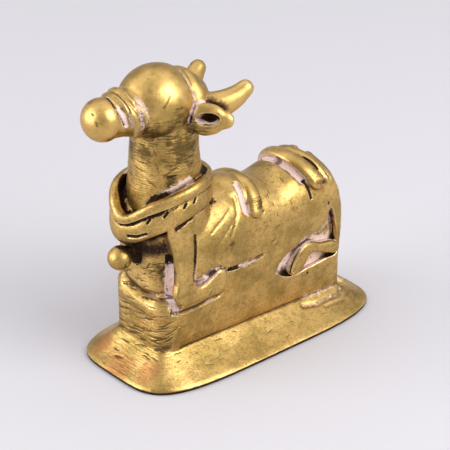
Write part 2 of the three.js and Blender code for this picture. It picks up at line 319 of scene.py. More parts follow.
# The mesh that a chain of modifiers makes. Each entry is a modifier's kind and its settings, and a node
# group's inputs are set by their sockets' identifiers.
def shapeWith(mesh, chain):
    body = addObject(mesh.name, mesh)
    for kind, settings in chain:
        modifier = body.modifiers.new(kind.lower(), kind)
        inputs = settings.pop("inputs", {})
        for name, value in settings.items():
            setattr(modifier, name, value)
        for item in modifier.node_group.interface.items_tree if inputs else []:
            if item.in_out == "INPUT" and item.name in inputs:
                modifier[item.identifier] = inputs[item.name]
    return takeMesh(body)


brass = bpy.data.materials.new("worn_brass")


# A strip of wax along a path: its points carry half width, half thickness and the way the broad side faces.
def buildWaxStrip():
    tree, given = newTree("waxStrip", [
        ("Samples", "Int", 48),
        ("Sides", "Int", 16),
        ("Squareness", "Float", 2.4),
        ("End Round", "Float", 1.0),
        ("Wax", "Material", None),
    ])
    curve = addNode(tree, "GeometryNodeMeshToCurve", {"Mesh": given["Geometry"]})
    curve = addNode(tree, "GeometryNodeCurveSplineType", {"Curve": curve}, spline_type="CATMULL_ROM")
    counted = {"Curve": curve, "Count": given["Samples"]}
    curve = addNode(tree, "GeometryNodeResampleCurve", counted, mode="COUNT")

    tangent = addNode(tree, "GeometryNodeInputTangent")
    facing = stored(tree, "facing", "FLOAT_VECTOR")
    outward = (facing - tangent.scaled(facing.dot(tangent))).apply("NORMALIZE")
    curve = addNode(tree, "GeometryNodeSetCurveNormal", {"Curve": curve, "Normal": outward}, mode="FREE")
    curve = store(tree, curve, "outward", outward, "FLOAT_VECTOR")
    position = placeOf(tree)
    curve = store(tree, curve, "middle", position, "FLOAT_VECTOR")

    # Round ends: the section shrinks over the last stretch of an open strip.
    halfWidth = stored(tree, "halfWidth")
    travelled = addNode(tree, "GeometryNodeSplineParameter", output="Length")
    whole = addNode(tree, "GeometryNodeSplineLength", output="Length")
    toEnd = travelled.atMost(whole - travelled)
    endLength = (halfWidth * given["End Round"]).atLeast(1e-4)
    outside = 1.0 - (toEnd / endLength).atMost(1.0)
    isRound = given["End Round"].apply("GREATER_THAN", 0.0)
    shrink = (1.001 - outside * outside).apply("SQRT") * isRound + (1.0 - isRound)

    # The section: a circle bent to a superellipse, swept along and then pressed flat.
    circle = addNode(tree, "GeometryNodeCurvePrimitiveCircle", {"Resolution": given["Sides"], "Radius": 1.0})
    power = 2.0 / given["Squareness"]
    bent = {}
    for axis in ("X", "Y"):
        across = position.part(axis)
        bent[axis] = across.apply("ABSOLUTE").apply("POWER", power) * across.apply("SIGN")
    corner = addNode(tree, "ShaderNodeCombineXYZ", bent)
    section = addNode(tree, "GeometryNodeSetPosition", {"Geometry": circle, "Position": corner})
    sweep = {"Curve": curve, "Profile Curve": section, "Scale": halfWidth * shrink, "Fill Caps": True}
    mesh = addNode(tree, "GeometryNodeCurveToMesh", sweep)
    flatness = stored(tree, "halfThick") / halfWidth
    storedOutward = stored(tree, "outward", "FLOAT_VECTOR")
    height = (position - stored(tree, "middle", "FLOAT_VECTOR")).dot(storedOutward)
    mesh = move(tree, mesh, storedOutward.scaled(height * (flatness - 1.0)))
    return endTree(tree, mesh, given["Wax"])


waxStrip = buildWaxStrip()


def station(place, wide, thick, facing):
    return {
        "place": place,
        "wide": wide * share,
        "thick": thick * share,
        "facing": Vector(facing).normalized(),
    }


# An open strip runs on past its first and last station by its half width, where it ends round.
def layStrip(name, stations, samples=64, sides=20, squareness=2.4, endRound=1.0, closed=False):
    stations = list(stations)
    if not closed:
        for end, inner in ((0, 1), (-1, -2)):
            last = stations[end]
            way = (last["place"] - stations[inner]["place"]).normalized()
            tip = dict(last, place=last["place"] + way * last["wide"] * endRound)
            stations.insert(0 if end == 0 else len(stations), tip)
    mesh = bpy.data.meshes.new(name)
    edges = [(i, i + 1) for i in range(len(stations) - 1)]
    if closed:
        edges.append((len(stations) - 1, 0))
    mesh.from_pydata([s["place"] for s in stations], edges, [])
    for title, key in (("halfWidth", "wide"), ("halfThick", "thick")):
        attribute = mesh.attributes.new(title, "FLOAT", "POINT")
        attribute.data.foreach_set("value", [s[key] for s in stations])
    facing = mesh.attributes.new("facing", "FLOAT_VECTOR", "POINT")
    facing.data.foreach_set("vector", [value for s in stations for value in s["facing"]])
    values = {
        "Samples": samples,
        "Sides": sides,
        "Squareness": squareness,
        "End Round": 0.0 if closed else endRound,
        "Wax": brass,
    }
    made = shapeWith(mesh, [("NODES", {"node_group": waxStrip, "inputs": values})])
    made.name = name
    turnOutwards(made)
    return made


# An ellipsoid of three half sizes, in hundredths of the bull's height.
def lump(name, centre, halfSizes, finer=5):
    ball = bmesh.new()
    bmesh.ops.create_icosphere(ball, subdivisions=finer, radius=share)
    mesh = bpy.data.meshes.new(name)
    ball.to_mesh(mesh)
    ball.free()
    mesh.transform(Matrix.Translation(centre) @ Matrix.Diagonal((*halfSizes, 1)))
    return mesh


# A flat shape with eased edges standing on the flank, from one distance off the middle plane to another.
def flankShape(name, outline, inner, outer, easing, lean=0.0):
    curve = bpy.data.curves.new(name, "CURVE")
    curve.dimensions = "2D"
    curve.fill_mode = "BOTH"
    spline = curve.splines.new("BEZIER")
    spline.bezier_points.add(len(outline) - 1)
    for point, (x, z) in zip(spline.bezier_points, outline):
        point.co = (x * share, z * share, 0)
        point.handle_left_type = point.handle_right_type = "AUTO"
    spline.use_cyclic_u = True
    spline.resolution_u = 8
    curve.bevel_depth = easing * share
    curve.bevel_resolution = 4
    curve.offset = -easing * share
    curve.extrude = ((outer - inner) / 2 - easing) * share
    mesh = takeMesh(addObject(name, curve))
    # The plate's own height becomes the way out of the flank, its inner face on the leaning plane.
    mesh.transform(Matrix.Translation((0, 0, (outer - inner) / 2 * share)))
    mesh.transform(Matrix.Rotation(math.radians(90 - lean), 4, "X"))
    mesh.transform(Matrix.Translation((0, -inner * share, plinth["top"])))
    turnOutwards(mesh)
    return mesh


# The foot: outlines from the underside up over the rim and the flare to inside the plinth's wall.
def footForm():
    def outlineAt(climb, height, inset=0.0):
        points = []
        for side in range(foot["sides"]):
            angle = 2 * math.pi * side / foot["sides"]
            halfLength = mix(foot["length"] / 2 - inset, plinth["length"] / 2 - foot["tuck"], climb)
            halfWidth = mix(foot["width"] / 2 - inset, plinth["width"] / 2 - foot["tuck"], climb)
            squareness = mix(foot["squareness"], 2 * foot["squareness"], climb)
            x, y = roundedPoint(angle, halfLength, halfWidth, squareness)
            rise = mix(foot["riseFront"], foot["riseRear"], 0.5 + x / foot["length"])
            points.append(Vector((x, y * (1 + foot["taper"] * x / foot["length"]), height(rise))))
        return points

    rings = []
    roundSteps = 4
    for step in range(roundSteps + 1):
        turn = math.pi / 2 * step / roundSteps
        inset = foot["rimRound"] * (1 - math.sin(turn))
        rings.append(outlineAt(0, lambda rise: foot["rimRound"] * (1 - math.cos(turn)), inset))
    rings.append(outlineAt(0, lambda rise: foot["rim"] - foot["rimEase"]))
    for ring in range(1, foot["flareRings"] + 1):
        climb = ring / foot["flareRings"]
        sag = foot["sag"] * math.sin(math.pi * climb)
        rings.append(outlineAt(climb, lambda rise: foot["rim"] + rise * climb - sag))
    return skin("foot", rings, Vector((0, 0, 0)), Vector((0, 0, foot["rim"] + foot["riseRear"])))


# The plinth block, from inside the foot up to an eased top edge.
def plinthForm():
    cornerSteps = 10
    easingRings = 8

    def ringAt(inset, height):
        points = []
        corners = [
            (1, 1, "rearCorner"),
            (-1, 1, "frontCorner"),
            (-1, -1, "frontCorner"),
            (1, -1, "rearCorner"),
        ]
        for quarter, (endways, sideways, kind) in enumerate(corners):
            corner = plinth[kind]
            for step in range(cornerSteps + 1):
                turn = math.pi / 2 * (quarter + step / cornerSteps)
                x = endways * (plinth["length"] / 2 - corner) + (corner - inset) * math.cos(turn)
                y = sideways * (plinth["width"] / 2 - corner) + (corner - inset) * math.sin(turn)
                points.append(Vector((x, y, height)))
        return points

    rings = [ringAt(0, foot["rim"])]
    for ring in range(easingRings + 1):
        turn = math.pi / 2 * ring / easingRings
        inset = plinth["easing"] * (1 - math.cos(turn))
        rings.append(ringAt(inset, plinth["top"] - plinth["easing"] * (1 - math.sin(turn))))
    return skin("plinth", rings, Vector((0, 0, foot["rim"])), Vector((0, 0, plinth["top"])))


# The lying body: straight flanks below, a round back above. Places and sizes in hundredths.
torso = {
    "backHeight": smooth([(-50, 20), (-42, 30), (-20, 35), (-4, 35), (6, 33.4), (17, 31), (29, 33.6),
                          (40, 34), (48, 30.4), (53, 25), (56, 17.5)]),
    "flankWidth": smooth([(-50, 9), (-45, 16.4), (-36, 18.6), (0, 18.8), (30, 19.2), (46, 19.4),
                          (52, 18.4), (56, 14.4)]),
    "flankTop": 13,
    "flankBottom": -12,
    "backSquareness": 2.3,
    "flankSquareness": 9,
    "front": -50,
    "rear": 56,
    "rings": 64,
    "sides": 112,
}


# A point of the body's surface: lean 0 is the ridge of the back, a quarter turn is the flank.
def onBody(x, lean, proud=0.0):
    angle = math.pi / 2 - lean
    over = math.sin(angle) >= 0
    high = torso["backHeight"](x) - torso["flankTop"] if over else torso["flankTop"] - torso["flankBottom"]
    squareness = torso["backSquareness"] if over else torso["flankSquareness"]
    y, z = roundedPoint(angle, torso["flankWidth"](x) + proud, high + proud, squareness)
    return at(x, y, torso["flankTop"] + z)


def bodyForm():
    rings = []
    for ring in range(torso["rings"] + 1):
        x = mix(torso["front"], torso["rear"], ring / torso["rings"])
        rings.append([onBody(x, 2 * math.pi * side / torso["sides"]) for side in range(torso["sides"])])
    return skin("body", rings, at(torso["front"] - 1, 0, 4), at(torso["rear"] + 1, 0, 4))


# Smooth runs through each column of a table of sections, by the values of its first column.
def sectionRuns(sections):
    columns = range(1, len(sections[0]))
    return [smooth([(section[0], section[column]) for section in sections]) for column in columns]


# Neck: a squarish breast over the front of the plinth, rising to a round waisted column.
def neckForm():
    sections = [
        # height, place along, half length, half width, squareness
        (-10, -38.4, 17.6, 16, 3.2),
        (0, -37.6, 18.4, 17.4, 3.1),
        (12, -37.4, 18.6, 17.8, 2.9),
        (32, -37.4, 18, 17.2, 2.5),
        (48, -37.8, 16.2, 15.6, 2.2),
        (62, -38, 15.2, 15, 2),
        (74, -37.4, 14.8, 14, 2),
        (82, -37.4, 12, 12, 2),
    ]
    along, halfLong, halfWide, power = sectionRuns(sections)
    sides, count = 96, 60
    rings = []
    for step in range(count + 1):
        z = mix(sections[0][0], sections[-1][0], step / count)
        ring = []
        for side in range(sides):
            x, y = roundedPoint(2 * math.pi * side / sides, halfLong(z), halfWide(z), power(z))
            ring.append(at(along(z) + x, y, z))
        rings.append(ring)
    return skin("neck", rings, at(-38, 0, sections[0][0] - 1), at(-38, 0, sections[-1][0] + 1))


# Snout: sections from the jaw forward, drawn in behind the round muzzle.
def snoutForm():
    sections = [
        # place forward, height, half width, half height
        (40, 80, 12, 13),
        (50, 81.2, 10.6, 11.6),
        (57, 82.2, 9.8, 10.4),
        (63, 82.8, 9.2, 9.4),
        (70, 83, 8.8, 8.9),
    ]
    centreAt, wideAt, highAt = sectionRuns(sections)
    sides, count = 72, 30
    rings = []
    for step in range(count + 1):
        forward = mix(sections[0][0], sections[-1][0], step / count)
        ring = []
        for side in range(sides):
            angle = 2 * math.pi * side / sides
            y, up = wideAt(forward) * math.cos(angle), highAt(forward) * math.sin(angle)
            ring.append(at(-forward, y, centreAt(forward) + up))
        rings.append(ring)
    return skin("snout", rings, at(-40, 0, 80), at(-70, 0, 83))


halter = {"lean": 24, "reachUp": 10.3, "reachAcross": 10.2, "turns": 16, "wide": 1.75, "thick": 1.5}


# Halter: two bands side by side round the snout, leaning forward at the top.
def halterBand(name, x, z):
    lean = math.radians(halter["lean"])
    stations = []
    for step in range(halter["turns"]):
        angle = 2 * math.pi * step / halter["turns"]
        up = math.cos(angle)
        outward = Vector((-math.sin(lean) * up, math.sin(angle), math.cos(lean) * up))
        reach = halter["reachUp"]
        place = at(x + reach * outward.x, halter["reachAcross"] * outward.y, z + reach * outward.z)
        stations.append(station(place, halter["wide"], halter["thick"], outward))
    return layStrip(name, stations, samples=96, sides=14, squareness=2.3, closed=True)


# Headband: a strip over the back of the skull, from above one ear to above the other.
def headbandForm():
    reach = 12.7
    stations = []
    for degrees in (-105, -75, -45, -15, 15, 45, 75, 105):
        lean = math.radians(degrees)
        outward = Vector((0, math.sin(lean), math.cos(lean)))
        stations.append(station(at(-28.4, reach * outward.y, 80.6 + reach * outward.z), 3.2, 1.8, outward))
    return layStrip("headband", stations, squareness=2.3)


# Horn: swept back, out and up to a blunt tip.
def hornForm():
    out = (0, -1, 0)
    stations = [
        station(at(-24, -7, 77.6), 6.2, 6, out),
        station(at(-16, -11.4, 78.4), 6, 5.6, out),
        station(at(-10, -14, 80.8), 5, 4.8, out),
        station(at(-5.4, -15.6, 84), 3.9, 3.8, out),
    ]
    return layStrip("horn", stations, squareness=2)


# Ear: a leaf standing out and back from the head. Its open side is hollowed later.
def earForm():
    openSide = (-0.72, -0.62, 0.3)
    stations = [
        station(at(-34.4, -12, 77), 5.2, 3, openSide),
        station(at(-30.4, -17, 77.2), 7, 3.2, openSide),
        station(at(-26.6, -21, 77.2), 6.2, 2.8, openSide),
        station(at(-23.9, -23.8, 77), 3.8, 2.2, openSide),
    ]
    return layStrip("ear", stations, squareness=2)


# A collar band dips to a V at the front and climbs to the nape.
# Heights and half heights stand at each eighth of a turn, from the front by the left flank.
collar = {
    "centre": -40.2,
    "reachAlong": 21.2,
    "reachAcross": 18.8,
    "facingUp": 0.12,
    "thick": 2.4,
    "squareness": 2.7,
    "upper": {
        "heights": [34, 41.8, 46.6, 47, 46, 45, 43.4, 41],
        "halfHeights": [2.6, 2.7, 2.8, 3, 3.2, 3.2, 3.2, 3],
    },
    "lower": {
        "heights": [27.8, 34, 39.6, 41, 40, 38.6, 36, 32.6],
        "halfHeights": [4.8, 4.7, 4.5, 4.4, 4.4, 4.8, 4.8, 4.8],
    },
}


def roundTheNeck(values):
    wrapped = values[-2:] + values + values[:3]
    return smooth([(45 * (eighth - 2), value) for eighth, value in enumerate(wrapped)])


def collarPlace(degrees, height, proud=0.0):
    turn = math.radians(degrees)
    along = (collar["reachAlong"] + proud) * -math.cos(turn)
    across = (collar["reachAcross"] + proud) * -math.sin(turn)
    return at(collar["centre"] + along, across, height)


def collarBand(name, band):
    heightAt = roundTheNeck(band["heights"])
    halfHeightAt = roundTheNeck(band["halfHeights"])
    stations = []
    for degrees in range(0, 360, 15):
        turn = math.radians(degrees)
        outward = (-math.cos(turn), -math.sin(turn), collar["facingUp"])
        place = collarPlace(degrees, heightAt(degrees))
        stations.append(station(place, halfHeightAt(degrees), collar["thick"], outward))
    return layStrip(name, stations, samples=160, sides=28, squareness=collar["squareness"], closed=True)


def bellForms():
    up = (0, 0, 1)
    stations = [station(at(-52, 0, 20), 3, 3, up), station(at(-62, 0, 16.4), 3, 3, up)]
    return [layStrip("shank", stations, samples=24), lump("bell", at(-63.8, 0, 16), (5.5, 5.5, 5.5))]


# Foreleg folded flat against the side: the upper leg down to the knee, and the hoof turned back.
def forelegForm():
    outline = [(-49.4, 36), (-48.8, 17), (-48.2, 5.6), (-49.8, -2.8), (-46.6, -6.2), (-36.4, -6.8),
               (-22, -6), (-20.6, -1.6), (-22, 3.6), (-37.8, 1), (-38.6, 13), (-37.6, 26), (-38.4, 40)]
    return flankShape("foreleg", outline, 14, 22, 1.8, lean=5)


# Hind leg: the shank comes round the rump and the hoof points down and forward, in a hollow.
def hindLegForm():
    outline = [(51, -9), (39, -4.4), (31, -1.4), (26, -3), (22.6, -7), (19.6, -14), (23.8, -15.8),
               (29.2, -12.4), (32.6, -8.6), (43.2, -11.4), (51, -12.6)]
    return flankShape("hindLeg", outline, 14, 20.6, 1.8)


def legHollow():
    outline = [(45.4, 11), (43, 4), (34, 1.2), (24, -1.6), (15, -6.2), (13, -10.4), (20.6, -16.2),
               (30.6, -16), (44, -15), (52, -13.6), (51, -6), (48.6, 3.4)]
    return flankShape("legHollow", outline, 15.8, 26, 0.6)


def bellyCrease():
    places = [(-18, 1.8), (-15, 1.3), (-11, 1), (-6, 0.8), (4, 1.6)]
    stations = [station(at(x, -19.4, z), 0.9, 1.1, (0, -1, 0)) for x, z in places]
    return layStrip("bellyCrease", stations, squareness=2)


# A strip laid over the back and down both flanks, following the body's surface.
def backStrap(name, top, low, end, wide, thick, proud=0.0):
    stations = []
    for across in np.linspace(-1, 1, 11):
        lean = math.radians(end) * across
        x = mix(top, low, across**2)
        stations.append(station(onBody(x, lean, proud), wide, thick, (0, math.sin(lean), math.cos(lean))))
    return layStrip(name, stations, samples=120, squareness=2.2)


# Tail: from the rump down the rear corner to the hind leg.
def tailForm():
    stations = [
        station(at(43.6, -6, 33), 3.6, 2.2, (0.3, -0.3, 0.9)),
        station(at(49, -12.6, 24.6), 3.6, 2.2, (0.6, -0.5, 0.5)),
        station(at(52.4, -15.6, 12), 3.6, 2.2, (0.7, -0.7, 0.1)),
        station(at(53, -15.8, 0), 3.6, 2.2, (0.7, -0.7, 0)),
        station(at(52.4, -15.8, -11), 3.2, 2.2, (0.7, -0.7, 0)),
    ]
    return layStrip("tail", stations)


def bothSides(meshes):
    return meshes + [otherSide(mesh) for mesh in meshes]


def joinMeshes(name, meshes):
    whole = bmesh.new()
    for mesh in meshes:
        whole.from_mesh(mesh)
    joined = bpy.data.meshes.new(name)
    whole.to_mesh(joined)
    whole.free()
    return joined


modelling = {"voxel": 0.18, "softening": 2, "triangles": 195000}


def buildCore():
    forms = [footForm(), plinthForm(), bodyForm(), neckForm(), snoutForm(), headbandForm()]
    forms += [lump("skull", at(-42, 0, 83.4), (17.6, 16, 16.4))]
    forms += [lump("poll", at(-28, 0, 80), (12.4, 12, 12.6))]
    forms += [lump("muzzle", at(-71, 0, 83), (8.6, 9.4, 9.4))]
    forms += [halterBand("halterFront", -60.6, 82.2), halterBand("halterBack", -57.2, 83.4)]
    forms += [collarBand("collarUpper", collar["upper"]), collarBand("collarLower", collar["lower"])]
    forms += bellForms()
    forms += [backStrap("hump", 3, 0, 62, 3.6, 2.4, 0.3)]
    forms += [lump("humpDome", at(-5, 0, 26), (13, 15, 11.4))]
    forms += [backStrap("rumpFront", 33.6, 37.6, 54, 4.2, 3, 0.6)]
    forms += [backStrap("rumpRear", 40.6, 43.6, 52, 2.6, 2.6, 0.3)]
    return joinMeshes("core", forms)


def carve(mesh, cutters):
    tool = addObject("cutter", joinMeshes("cutters", cutters))
    settings = {"operation": "DIFFERENCE", "solver": "MANIFOLD", "object": tool}
    carved = shapeWith(mesh, [("BOOLEAN", settings)])
    bpy.data.objects.remove(tool)
    return carved


def buildCasting():
    remesh = {"mode": "VOXEL", "voxel_size": modelling["voxel"]}
    core = shapeWith(buildCore(), [("REMESH", remesh)])
    print("core:", len(core.polygons), "faces")
    hollowed = carve(core, bothSides([legHollow(), bellyCrease()]))
    earHollow = lump("earHollow", at(-31, -20.6, 78.2), (5.2, 5.2, 2.5))
    sideForms = [carve(earForm(), [earHollow]), hornForm(), forelegForm(), hindLegForm(), tailForm()]
    whole = joinMeshes("nandi_bull", [hollowed] + bothSides(sideForms))
    smoothing = {"factor": 0.5, "iterations": modelling["softening"]}
    return shapeWith(whole, [("REMESH", remesh), ("SMOOTH", smoothing)])


# Marks pressed into the surface, each a line of places in millimetres that is drawn onto the nearest skin.
# Reach and depth are the groove's, or a bulge's where depth is below nothing.
# Spread is how far the mark's pink residue or dark paint goes; the dark paint is residue on most marks and
# painted shadow on a few.
# A mark is laid on both sides of the bull, unless mirrored is False.
marks = [
    {"name": "groove before the rump roll", "reach": 1.3, "depth": 0.5, "pink": 1, "spread": 1.2,
     "line": [(14.4, 0, 37.8), (14.5, -3.4, 37.2), (15.1, -6.2, 35.8), (15.5, -7, 35)]},
    {"name": "slit under the rump roll", "reach": 0.45, "depth": 0.4, "dark": 0.9, "spread": 0.36,
     "line": [(15.8, -7.4, 35), (16.3, -8.6, 33.6), (16.6, -9.2, 31)]},
    {"name": "gap between the rump rolls", "reach": 0.4, "depth": 0.3, "dark": 0.8, "spread": 0.3,
     "line": [(19, -3, 38.8), (19.9, -5.4, 38), (20.2, -7.4, 36.8)]},
    {"name": "dent under the rump rolls", "reach": 1.2, "depth": 0.3, "dark": 0.4, "spread": 0.9,
     "line": [(18.4, -9.4, 34.2), (20.6, -9.2, 33.8)]},
    {"name": "line beside the tail", "reach": 0.4, "depth": 0.2, "dark": 0.6, "spread": 0.3,
     "line": [(21.8, -8.3, 35.4), (22.3, -8.9, 33)]},
    {"name": "groove before the hump strap", "reach": 1.3, "depth": 0.6, "pink": 1, "spread": 1.1,
     "line": [(-1.9, -4.4, 38.9), (-2.5, -6.8, 36.4), (-2.7, -8.4, 33.7)]},
    {"name": "edge behind the hump strap", "reach": 0.4, "depth": 0.25, "dark": 0.7, "spread": 0.28,
     "line": [(2.4, -2, 38.9), (2.5, -6.6, 37.3), (2.2, -9, 33.4)]},
    {"name": "under the strap's end", "reach": 0.4, "depth": 0.25, "dark": 0.8, "spread": 0.32,
     "line": [(-1, -9.3, 32), (0.6, -9.5, 31.4), (2.2, -9.4, 32.4)]},
    {"name": "fold below the collar", "reach": 0.8, "depth": 0.2, "dark": 0.25, "spread": 0.5,
     "line": [(-4.2, -6.6, 37.2), (-5.3, -8.8, 33.8), (-8, -9.4, 29.9)]},
    {"name": "belly crease", "reach": 0.6, "depth": 0.3, "pink": 0.35, "dark": 0.55, "spread": 0.7,
     "line": [(-16, -9.3, 22.9), (-12.2, -8.7, 21.9), (-7.7, -9, 21.2), (-3.2, -9, 20.9),
              (1.4, -9.3, 21.5)]},
    # Painted shadow: a dark line beside the foreleg's rear edge, over a shallow groove.
    {"name": "behind the foreleg", "reach": 0.5, "depth": 0.4, "dark": 0.6, "spread": 0.36,
     "line": [(-17.9, -9.4, 33), (-18.3, -9.4, 28), (-18.9, -9.4, 22)]},
    {"name": "before the foreleg", "reach": 1.2, "depth": 0.7, "pink": 1, "spread": 1.15,
     "line": [(-24.6, -8, 29.6), (-24.9, -8.2, 25), (-25.4, -8.2, 20.6), (-24.6, -8.8, 18),
              (-23.6, -9.2, 16.6)]},
    {"name": "inside the foreleg's bend", "reach": 1.1, "depth": 0.35, "pink": 1, "spread": 1.2,
     "line": [(-19, -9.4, 20.8), (-16, -9.4, 21.7), (-13.4, -9.4, 22.5)]},
    # Under the hoof: a little pink residue and a painted shadow along the hoof's underside.
    {"name": "under the hoof", "reach": 0.7, "depth": 0.35, "pink": 0.3, "dark": 0.6, "spread": 0.6,
     "line": [(-25, -9, 16.6), (-23.4, -9.4, 15.8), (-18, -9.4, 15.6), (-12, -9.4, 16)]},
    {"name": "end of the hoof", "reach": 0.6, "depth": 0.4, "pink": 0.3, "dark": 0.45, "spread": 0.5,
     "line": [(-11, -9.4, 20.4), (-10.5, -9.4, 19), (-10.5, -9.4, 17), (-11.4, -9.4, 16)]},
    {"name": "floor of the hind leg's hollow", "reach": 0.3, "depth": 0, "pink": 1, "spread": 2.2,
     "line": [(7.4, -8, 15.4), (9.4, -8, 18), (14, -8, 20.4), (20, -8, 21.8), (22.6, -8, 24)]},
    {"name": "edge of the hind hoof", "reach": 0.3, "depth": 0.2, "dark": 0.8, "spread": 0.25,
     "line": [(12.8, -9.8, 20), (10.6, -9.8, 17.2), (9.8, -9.8, 14.2)]},
    {"name": "slit behind the muzzle", "reach": 0.45, "depth": 0.45, "dark": 0.8, "spread": 0.28,
     "line": [(-34, 0, 67), (-34.3, -2.9, 66.1), (-33.8, -4.2, 64.1), (-32.9, -4.5, 61.8)]},
    {"name": "residue behind the slit", "reach": 0.6, "depth": 0.2, "pink": 1, "spread": 0.7,
     "line": [(-33.5, -3.4, 65.4), (-33, -4.4, 63.6), (-32.4, -4.5, 61.6)]},
    {"name": "gap between the halter bands", "reach": 0.4, "depth": 0.25, "dark": 0.5, "spread": 0.3,
     "line": [(-32, 0, 67.6), (-32, -2.3, 67.1), (-31.8, -4.3, 65.2), (-30.9, -5, 61.9)]},
    {"name": "behind the halter", "reach": 1.1, "depth": 0.35, "pink": 0.6, "dark": 0.3, "spread": 1.0,
     "line": [(-29.4, -2.7, 67.4), (-29.6, -4.8, 65.3), (-29, -5.6, 62.2), (-28.8, -5, 60)]},
    {"name": "headband groove", "reach": 0.8, "depth": 0.4, "pink": 0.65, "dark": 0.4, "spread": 0.6,
     "line": [(-16.6, 0, 69.2), (-16.8, -3.4, 68.2), (-16.2, -5.4, 66.4), (-15.9, -6.4, 64.6)]},
    {"name": "beside the ear", "reach": 0.7, "depth": 0.3, "pink": 0.6, "dark": 0.4, "spread": 0.7,
     "line": [(-16, -6.8, 63), (-17.4, -7.2, 61.6), (-18.4, -7.6, 59.4)]},
    {"name": "scratch on the cheek", "mirrored": False, "reach": 0.3, "depth": 0.12, "dark": 0.4,
     "spread": 0.28, "line": [(-24.9, -7.1, 64.2), (-23.7, -7, 65.2), (-22.9, -6.8, 66.2)]},
    {"name": "nick low on the neck", "mirrored": False, "reach": 0.35, "depth": 0.2, "dark": 0.7,
     "spread": 0.26, "line": [(-23.6, -6.4, 47.6), (-22, -7.2, 48)]},
    {"name": "groove at the front of the collar", "mirrored": False, "reach": 0.5, "depth": 0.4, "dark": 0.9,
     "spread": 0.4, "line": [(-31.5, -2.6, 35.2), (-30.8, -4.7, 35.5), (-29.6, -6.4, 36.4)]},
    {"name": "old dirt on the chest, below the collar", "reach": 0.5, "depth": 0.1, "dark": 0.85,
     "spread": 1.9, "line": [(-30, -1.6, 31.2), (-28, -5, 31.2), (-26, -7.2, 31.8)]},
    # Pink residue and painted shade under the horn's root.
    {"name": "pink residue and painted shade under the horn's root", "reach": 0.6, "depth": 0.1, "pink": 0.25, "dark": 0.75,
     "spread": 1.3, "line": [(-11.4, -6.6, 61.8), (-10.2, -7.4, 61), (-9, -8.2, 60.2)]},
    {"name": "wrinkle of the shoulder", "reach": 0.55, "depth": 0.16, "dark": 0.25, "spread": 0.35,
     "line": [(-6.6, -7.6, 35.4), (-10.2, -8.8, 33.8), (-13.6, -9.2, 32.2)]},
    {"name": "second wrinkle of the shoulder", "reach": 0.5, "depth": 0.12, "dark": 0.2, "spread": 0.3,
     "line": [(-5.8, -8.4, 33.4), (-8.6, -9.4, 31.6), (-11.4, -9.6, 29.4)]},
    {"name": "hollow over the front edge", "mirrored": False, "reach": 2.0, "depth": 0.9, "dark": 0.5,
     "spread": 1.2, "line": [(-28, 5, 21.6), (-28, 2, 20.4), (-28, -1.7, 19.6), (-27.6, -6, 19.8),
              (-26.4, -8, 19.4)]},
    {"name": "bulge of the front edge", "mirrored": False, "reach": 2.4, "depth": -0.5,
     "line": [(-28, 5, 17.6), (-28, 0, 16.8), (-27.4, -5.5, 16.6), (-25.6, -8.4, 16.2)]},
    {"name": "pit by the tail", "mirrored": False, "reach": 0.35, "depth": 0.4, "dark": 1, "spread": 0.32,
     "line": [(21.9, -9.8, 28.4), (21.9, -9.8, 28)]},
    {"name": "pit under the leg", "mirrored": False, "reach": 0.35, "depth": 0.3, "dark": 1, "spread": 0.3,
     "line": [(16, -9.4, 11.8), (16.1, -9.4, 11.7)]},
    {"name": "pit on the muzzle", "mirrored": False, "reach": 0.4, "depth": 0.12, "dark": 0.6,
     "spread": 0.34, "line": [(-38.8, -1.3, 65.2), (-38.7, -1.6, 65)]},
    {"name": "lower pit on the muzzle", "mirrored": False, "reach": 0.4, "depth": 0.08, "dark": 0.45,
     "spread": 0.4, "line": [(-38.9, -2.7, 63.6), (-38.7, -2.9, 63)]},
    {"name": "flange fold", "reach": 1.1, "depth": 0.3, "pink": 0.5, "dark": 0.2, "spread": 0.8,
     "line": [(13.4, -10.7, 4.2), (17, -11.4, 3.7), (20.2, -11.2, 3.7), (24.8, -10.9, 3.6),
              (28.2, -8.8, 4.1)]},
    {"name": "second flange fold", "reach": 0.8, "depth": 0.2, "pink": 0.35, "dark": 0.3, "spread": 0.5,
     "line": [(19, -12.6, 3), (24.6, -12.8, 2.8), (29, -10.6, 3)]},
    {"name": "lump behind the plinth's corner", "reach": 1.9, "depth": -1.0,
     "line": [(28.6, -7.6, 4.2), (29.4, -5.4, 4.2)]},
]


# The long crease where the plinth's wall stands on the flare.
def wallCrease():
    line = []
    for x in np.linspace(-23, 27, 11):
        rise = mix(foot["riseFront"], foot["riseRear"], 0.5 + x / foot["length"])
        line.append((x, -plinth["width"] / 2 - 0.1, foot["rim"] + rise))
    return {"name": "wall crease", "reach": 0.4, "depth": 0.1, "dark": 0.55, "spread": 0.36, "line": line}


# The collar's marks. Places round the neck are in degrees, reaches and depths in millimetres, and places
# above, below, in or out from the collar's line in hundredths.
collarWear = {
    "stretch": 20,  # from the start of one piece of a line to the next
    "steps": (0, 7, 14, 21),
    "fillingAt": (0, 20, 40, 300, 320, 340),
    "fillingUnder": 3.4,
    "fillingIn": 4,
    "fillingReach": 2.4,
    "fillingRise": 0.8,
    "grooveOut": 2.2,
    "grooveWidth": 0.42,
    "grooveWaver": 0.14,
    "grooveDepth": 0.5,
    # The dark line under the collar: dirt and painted shadow.
    "dirtAndShadeFrom": -40,
    "dirtAndShadeTo": 140,
    "dirtAndShadeUnder": 1.2,
    "dirtAndShadeIn": 2,
    "dirtAndShadeFront": 1.8,
    "dirtAndShadeSide": 0.6,
    "dirtAndShadeFade": 70,
    "nicksAt": (42, 61, 84, 97),
    "nickDrop": 1.9,
}
